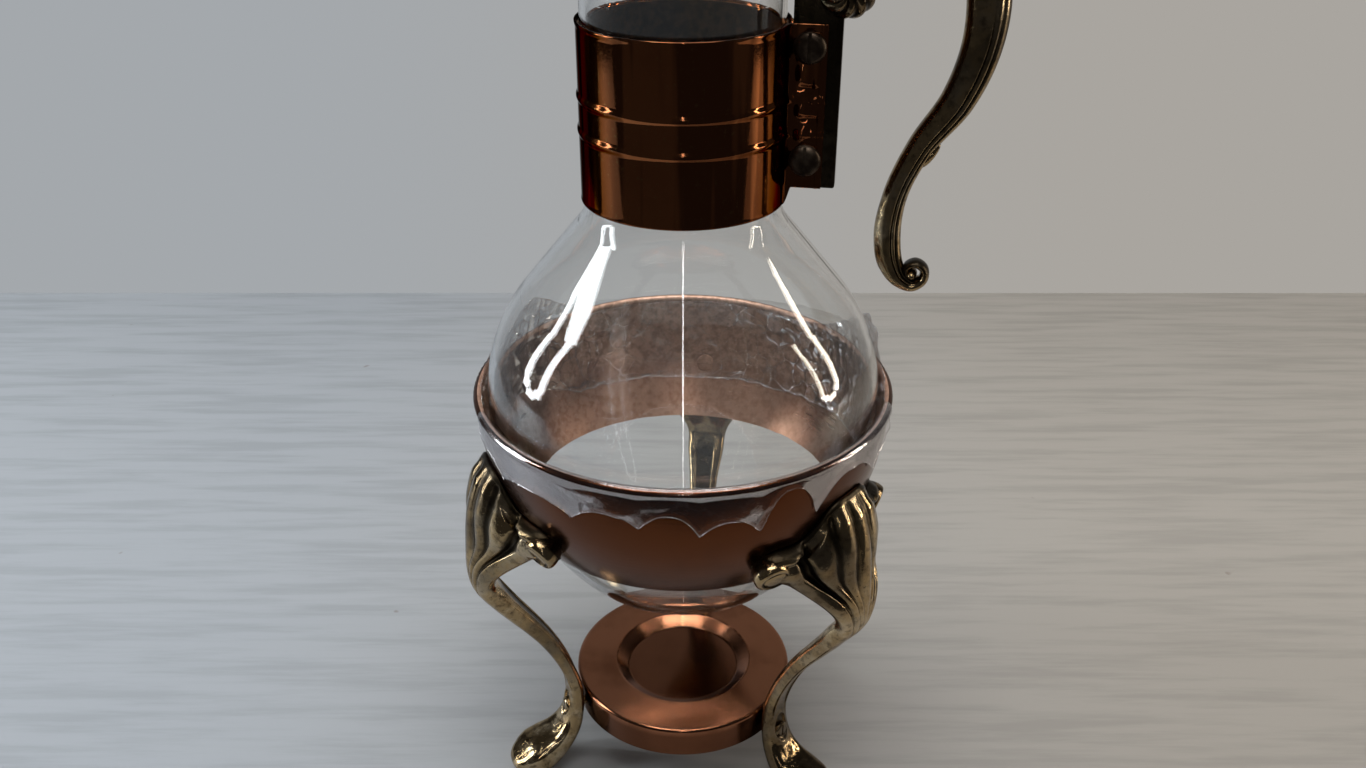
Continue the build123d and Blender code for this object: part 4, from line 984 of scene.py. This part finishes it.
def bandPath():
    # Middle line of the strip seen from above: straight along the front ear, round a fillet, all round
    # the neck and back out along the rear ear. Gives points, outward normals and distance along an ear.
    radius, side, fillet = bandSettings["middleRadius"], bandSettings["earSide"], bandSettings["fillet"]
    centre = np.array([math.sqrt((radius + fillet) ** 2 - (side + fillet) ** 2), side + fillet])
    join = math.atan2(centre[1], centre[0])
    ear = np.stack([np.linspace(bandSettings["earReach"], centre[0], bandSettings["earColumns"]),
                    np.full(bandSettings["earColumns"], side)], -1)
    turn = np.linspace(-math.pi / 2, -math.pi + join, 14)[1:-1]
    corner = centre + fillet * np.stack([np.cos(turn), np.sin(turn)], -1)
    angle = np.linspace(join, 2 * math.pi - join, bandSettings["ringColumns"])
    ring = radius * np.stack([np.cos(angle), np.sin(angle)], -1)
    start = np.vstack([ear, corner])
    points = np.vstack([start, ring, (start * (1, -1))[::-1]])
    slope = np.gradient(points, axis=0)
    slope /= np.linalg.norm(slope, axis=1, keepdims=True)
    outward = np.stack([slope[:, 1], -slope[:, 0]], -1)
    onEar = np.clip((np.abs(points[:, 0]) - radius) / 2.4, 0, 1)
    onEar = onEar * (points[:, 0] > 0) * (np.abs(points[:, 1]) < 6)
    return points, outward, onEar


def neckBand():
    # Rows run up the strip and columns round its section: out along the outer face and back along the
    # inner one. The outer face is the middle line plus half the sheet, two ribs and a rolled upper lip.
    points, outward, onEar = bandPath()
    rise = np.linspace(0, 1, bandSettings["rows"])[:, None]
    high = bandSettings["high"]
    low = bandSettings["low"] + (bandSettings["earLow"] - bandSettings["low"]) * onEar**1.5
    height = low + (high - low) * rise
    ribs = sum(np.sqrt(np.clip(1 - ((height - place) / bandSettings["ribHalf"]) ** 2, 0, 1))
               for place in bandSettings["ribHeights"])
    relief = bandSettings["ribRise"] * ribs * (1 - 0.45 * onEar)
    lip, foot = between(high - 2.0, high - 0.4, height), 1 - between(0.0, 1.2, height - low)
    edgeRoll = bandSettings["lipRoll"] * lip + bandSettings["footRoll"] * foot
    fromEdge = np.abs(points[:, 0]) - bandSettings["earReach"]
    hem = bandSettings["hemRise"] * np.exp(-(((fromEdge + 1.7) / 0.45) ** 2)) * onEar
    front = onEar * (points[:, 1] < 0)
    dents = sum(size * np.exp(-((points[:, 0] - x) / wide) ** 2 - ((height - z) / tall) ** 2)
                for x, z, wide, tall, size in bandSettings["dents"])
    offset = relief + edgeRoll + hem + dents * front
    half = bandSettings["thickness"] / 2
    outer, inner = [
        np.stack([points[:, 0] + outward[:, 0] * out, points[:, 1] + outward[:, 1] * out, height], -1)
        for out in (offset + half, offset * 0.85 - half)]
    start, end = (outer[:, :1] + inner[:, :1]) / 2, (outer[:, -1:] + inner[:, -1:]) / 2
    loop = np.concatenate([start, outer, end, inner[:, ::-1]], axis=1)
    addPiece("neckBandStrip", [closedTube(onCarafe(loop), ("zip", "zip"))], bandCopper, "carafe",
             ["neck_band"])


neckBand()


# Stage, in metres: the floor ends in front at the table's edge and behind at the wall; the dark screen
# is given by its distance to the left, its front, its back and its top.
stageSettings = {
    "floorBack": 0.4445, "floorFront": -0.23, "floorSide": 1.2, "floorCool": (0.38, 0.405, 0.435),
    "floorWarm": (0.415, 0.388, 0.352), "wallCool": (0.371, 0.392, 0.413),
    "wallWarm": (0.397, 0.376, 0.347), "speck": (0.2, 0.16, 0.13), "roomColour": (0.05, 0.05, 0.052),
    "cloth": ((0.02, 0.02, 0.022), (0.03, 0.028, 0.03)), "screen": (-0.62, 0.11, 0.44, 0.5),
}


def paintedWood():
    # white painted boards, cooler on the left and warmer on the right as painted window light, with a
    # faint grain across the view and a few dark specks
    look = Look("paintedWood")
    grain = look.noise(9.0, 5, 0.6, stretch=(1.0, 12.0, 1.0))
    spots = look.noise(60.0, 2, 0.5)
    # painted light: the windows' tint, cool on the left and warm on the right
    paintedWindowTint = look.along("X").ramp(-0.25, 0.25)
    colour = look.mix(paintedWindowTint, stageSettings["floorCool"], stageSettings["floorWarm"])
    colour = look.mix(grain.ramp(0.42, 0.66) * 0.14, colour, (0.0, 0.0, 0.0))
    colour = look.mix(spots.ramp(0.76, 0.8) * 0.6, colour, stageSettings["speck"])
    return look.set(color=colour, roughness=grain.ramp(0.3, 0.7, 0.42, 0.6),
                    normal=look.bump(grain, 0.06, 0.002))


def addStage(name, points, faces, look):
    # one object of the stage from points in metres
    mesh = bpy.data.meshes.new(name)
    mesh.from_pydata(points, [], faces)
    mesh.materials.append(look)
    thing = bpy.data.objects.new(name, mesh)
    bpy.context.scene.collection.objects.link(thing)
    return thing


def floorBoards():
    # flat grid from the front edge of the table to the wall
    across = np.linspace(-stageSettings["floorSide"], stageSettings["floorSide"], 25)
    along = np.linspace(stageSettings["floorFront"], stageSettings["floorBack"], 17)
    x, y = np.meshgrid(across, along)
    points = np.stack([x, y, np.zeros_like(x)], -1).reshape(-1, 3)
    faces = gridFaces(len(along), len(across), False)
    addStage("floorBoards", points.tolist(), faces.tolist(), paintedWood())


def darkScreen():
    # dark cloth left of the stand, out of the picture, that only shows in the polished copper
    look = Look("darkCloth")
    cloth = look.set(color=look.mix(look.noise(40.0, 2, 0.5), *stageSettings["cloth"]), roughness=0.9)
    x, front, back, top = stageSettings["screen"]
    corners = [(x, front, 0), (x, back, 0), (x, back, top), (x, front, top)]
    screen = addStage("darkScreen", corners, [(0, 1, 2, 3)], cloth)
    screen.visible_camera = screen.visible_shadow = screen.visible_diffuse = False
    screen.visible_transmission = False


def studioWorld():
    # a dim room that lights the object evenly; the camera and clear pieces see a pale wall instead,
    # and polished pieces see the wall behind the stand and the dim room in front of it
    look = Look("studioWorld", world=True)
    background = look.tree.nodes["Background"]
    rays = look.tree.nodes.new("ShaderNodeLightPath")
    seen = Wire(look, rays.outputs["Is Camera Ray"]) + Wire(look, rays.outputs["Is Transmission Ray"])
    direction = look.node("ShaderNodeTexCoord", {}, {}, "Generated")
    split = look.node("ShaderNodeSeparateXYZ", {}, {"Vector": direction}, "Y")
    behind = split.ramp(0.5, 0.9) * Wire(look, rays.outputs["Is Glossy Ray"])
    across = look.node("ShaderNodeSeparateXYZ", {}, {"Vector": direction}, "X")
    # painted light: the wall is tinted cooler on the left and warmer on the right, like window light on it
    wall = look.mix(across.ramp(-0.35, 0.35), stageSettings["wallCool"], stageSettings["wallWarm"])
    colour = look.mix(behind, stageSettings["roomColour"], wall)
    colour = look.mix(seen.step("MINIMUM", 1.0), colour, wall)
    look.plug(background.inputs["Color"], colour)
    background.inputs["Strength"].default_value = 1.0
    bpy.context.scene.world = look.owner


# Lamps, in metres and watts. Each is made of strips, given by their middle and size across and up it.
lampAim = (0.0, 0.0, 0.17)
lampSettings = {
    "leftWindow": {"at": (-1.0, 0.05, 0.55), "power": 9.0, "colour": (0.92, 0.97, 1.0), "strips": (
        ((-0.135, -0.10), (0.08, 0.54)), ((0.135, -0.10), (0.08, 0.54)), ((0.0, -0.46), (0.14, 0.07)),
        ((-0.105, -0.405), (0.10, 0.075)), ((0.105, -0.405), (0.10, 0.075)),
        ((0.0, 0.235), (0.35, 0.13)))},
    "rightWindow": {"at": (1.03, 0.0, 0.55), "power": 4.5, "colour": (1.0, 0.90, 0.76), "strips": (
        ((-0.13, -0.08), (0.03, 0.62)), ((0.13, -0.08), (0.05, 0.62)), ((0.0, -0.45), (0.13, 0.05)),
        ((-0.1, -0.41), (0.07, 0.05)), ((0.1, -0.41), (0.07, 0.05)))},
    "topFill": {"at": (0.0, -0.15, 1.25), "power": 11.0, "colour": (1.0, 1.0, 1.0),
                "strips": (((0.0, 0.0), (0.9, 0.7)),)},
    "frontLine": {"at": (0.0, -0.75, 0.95), "power": 1.1, "colour": (1.0, 1.0, 1.0),
                  "strips": (((0.0, 0.0), (0.013, 1.4)),)},
}


def softLamps():
    # Every strip faces the stand. Its light is its share of the window's area.
    for name, values in lampSettings.items():
        aim = np.array(lampAim) - np.array(values["at"])
        pitch, heading = math.atan2(math.hypot(aim[0], aim[1]), -aim[2]), math.atan2(aim[1], aim[0])
        tilt = (pitch, 0, heading - math.pi / 2)
        turned = mathutils.Euler(tilt).to_matrix()
        total = sum(size[0] * size[1] for _, size in values["strips"])
        for index, (middle, size) in enumerate(values["strips"]):
            lampData = bpy.data.lights.new(f"{name}{index}", "AREA")
            lampData.shape = "RECTANGLE"
            lampData.size, lampData.size_y = size
            lampData.energy = values["power"] * size[0] * size[1] / total
            lampData.color = values["colour"]
            lamp = bpy.data.objects.new(f"{name}{index}", lampData)
            lamp.location = mathutils.Vector(values["at"]) + turned @ mathutils.Vector((*middle, 0.0))
            lamp.rotation_euler = tilt
            bpy.context.scene.collection.objects.link(lamp)


floorBoards()
darkScreen()
studioWorld()
softLamps()
print("stage and lamps made")
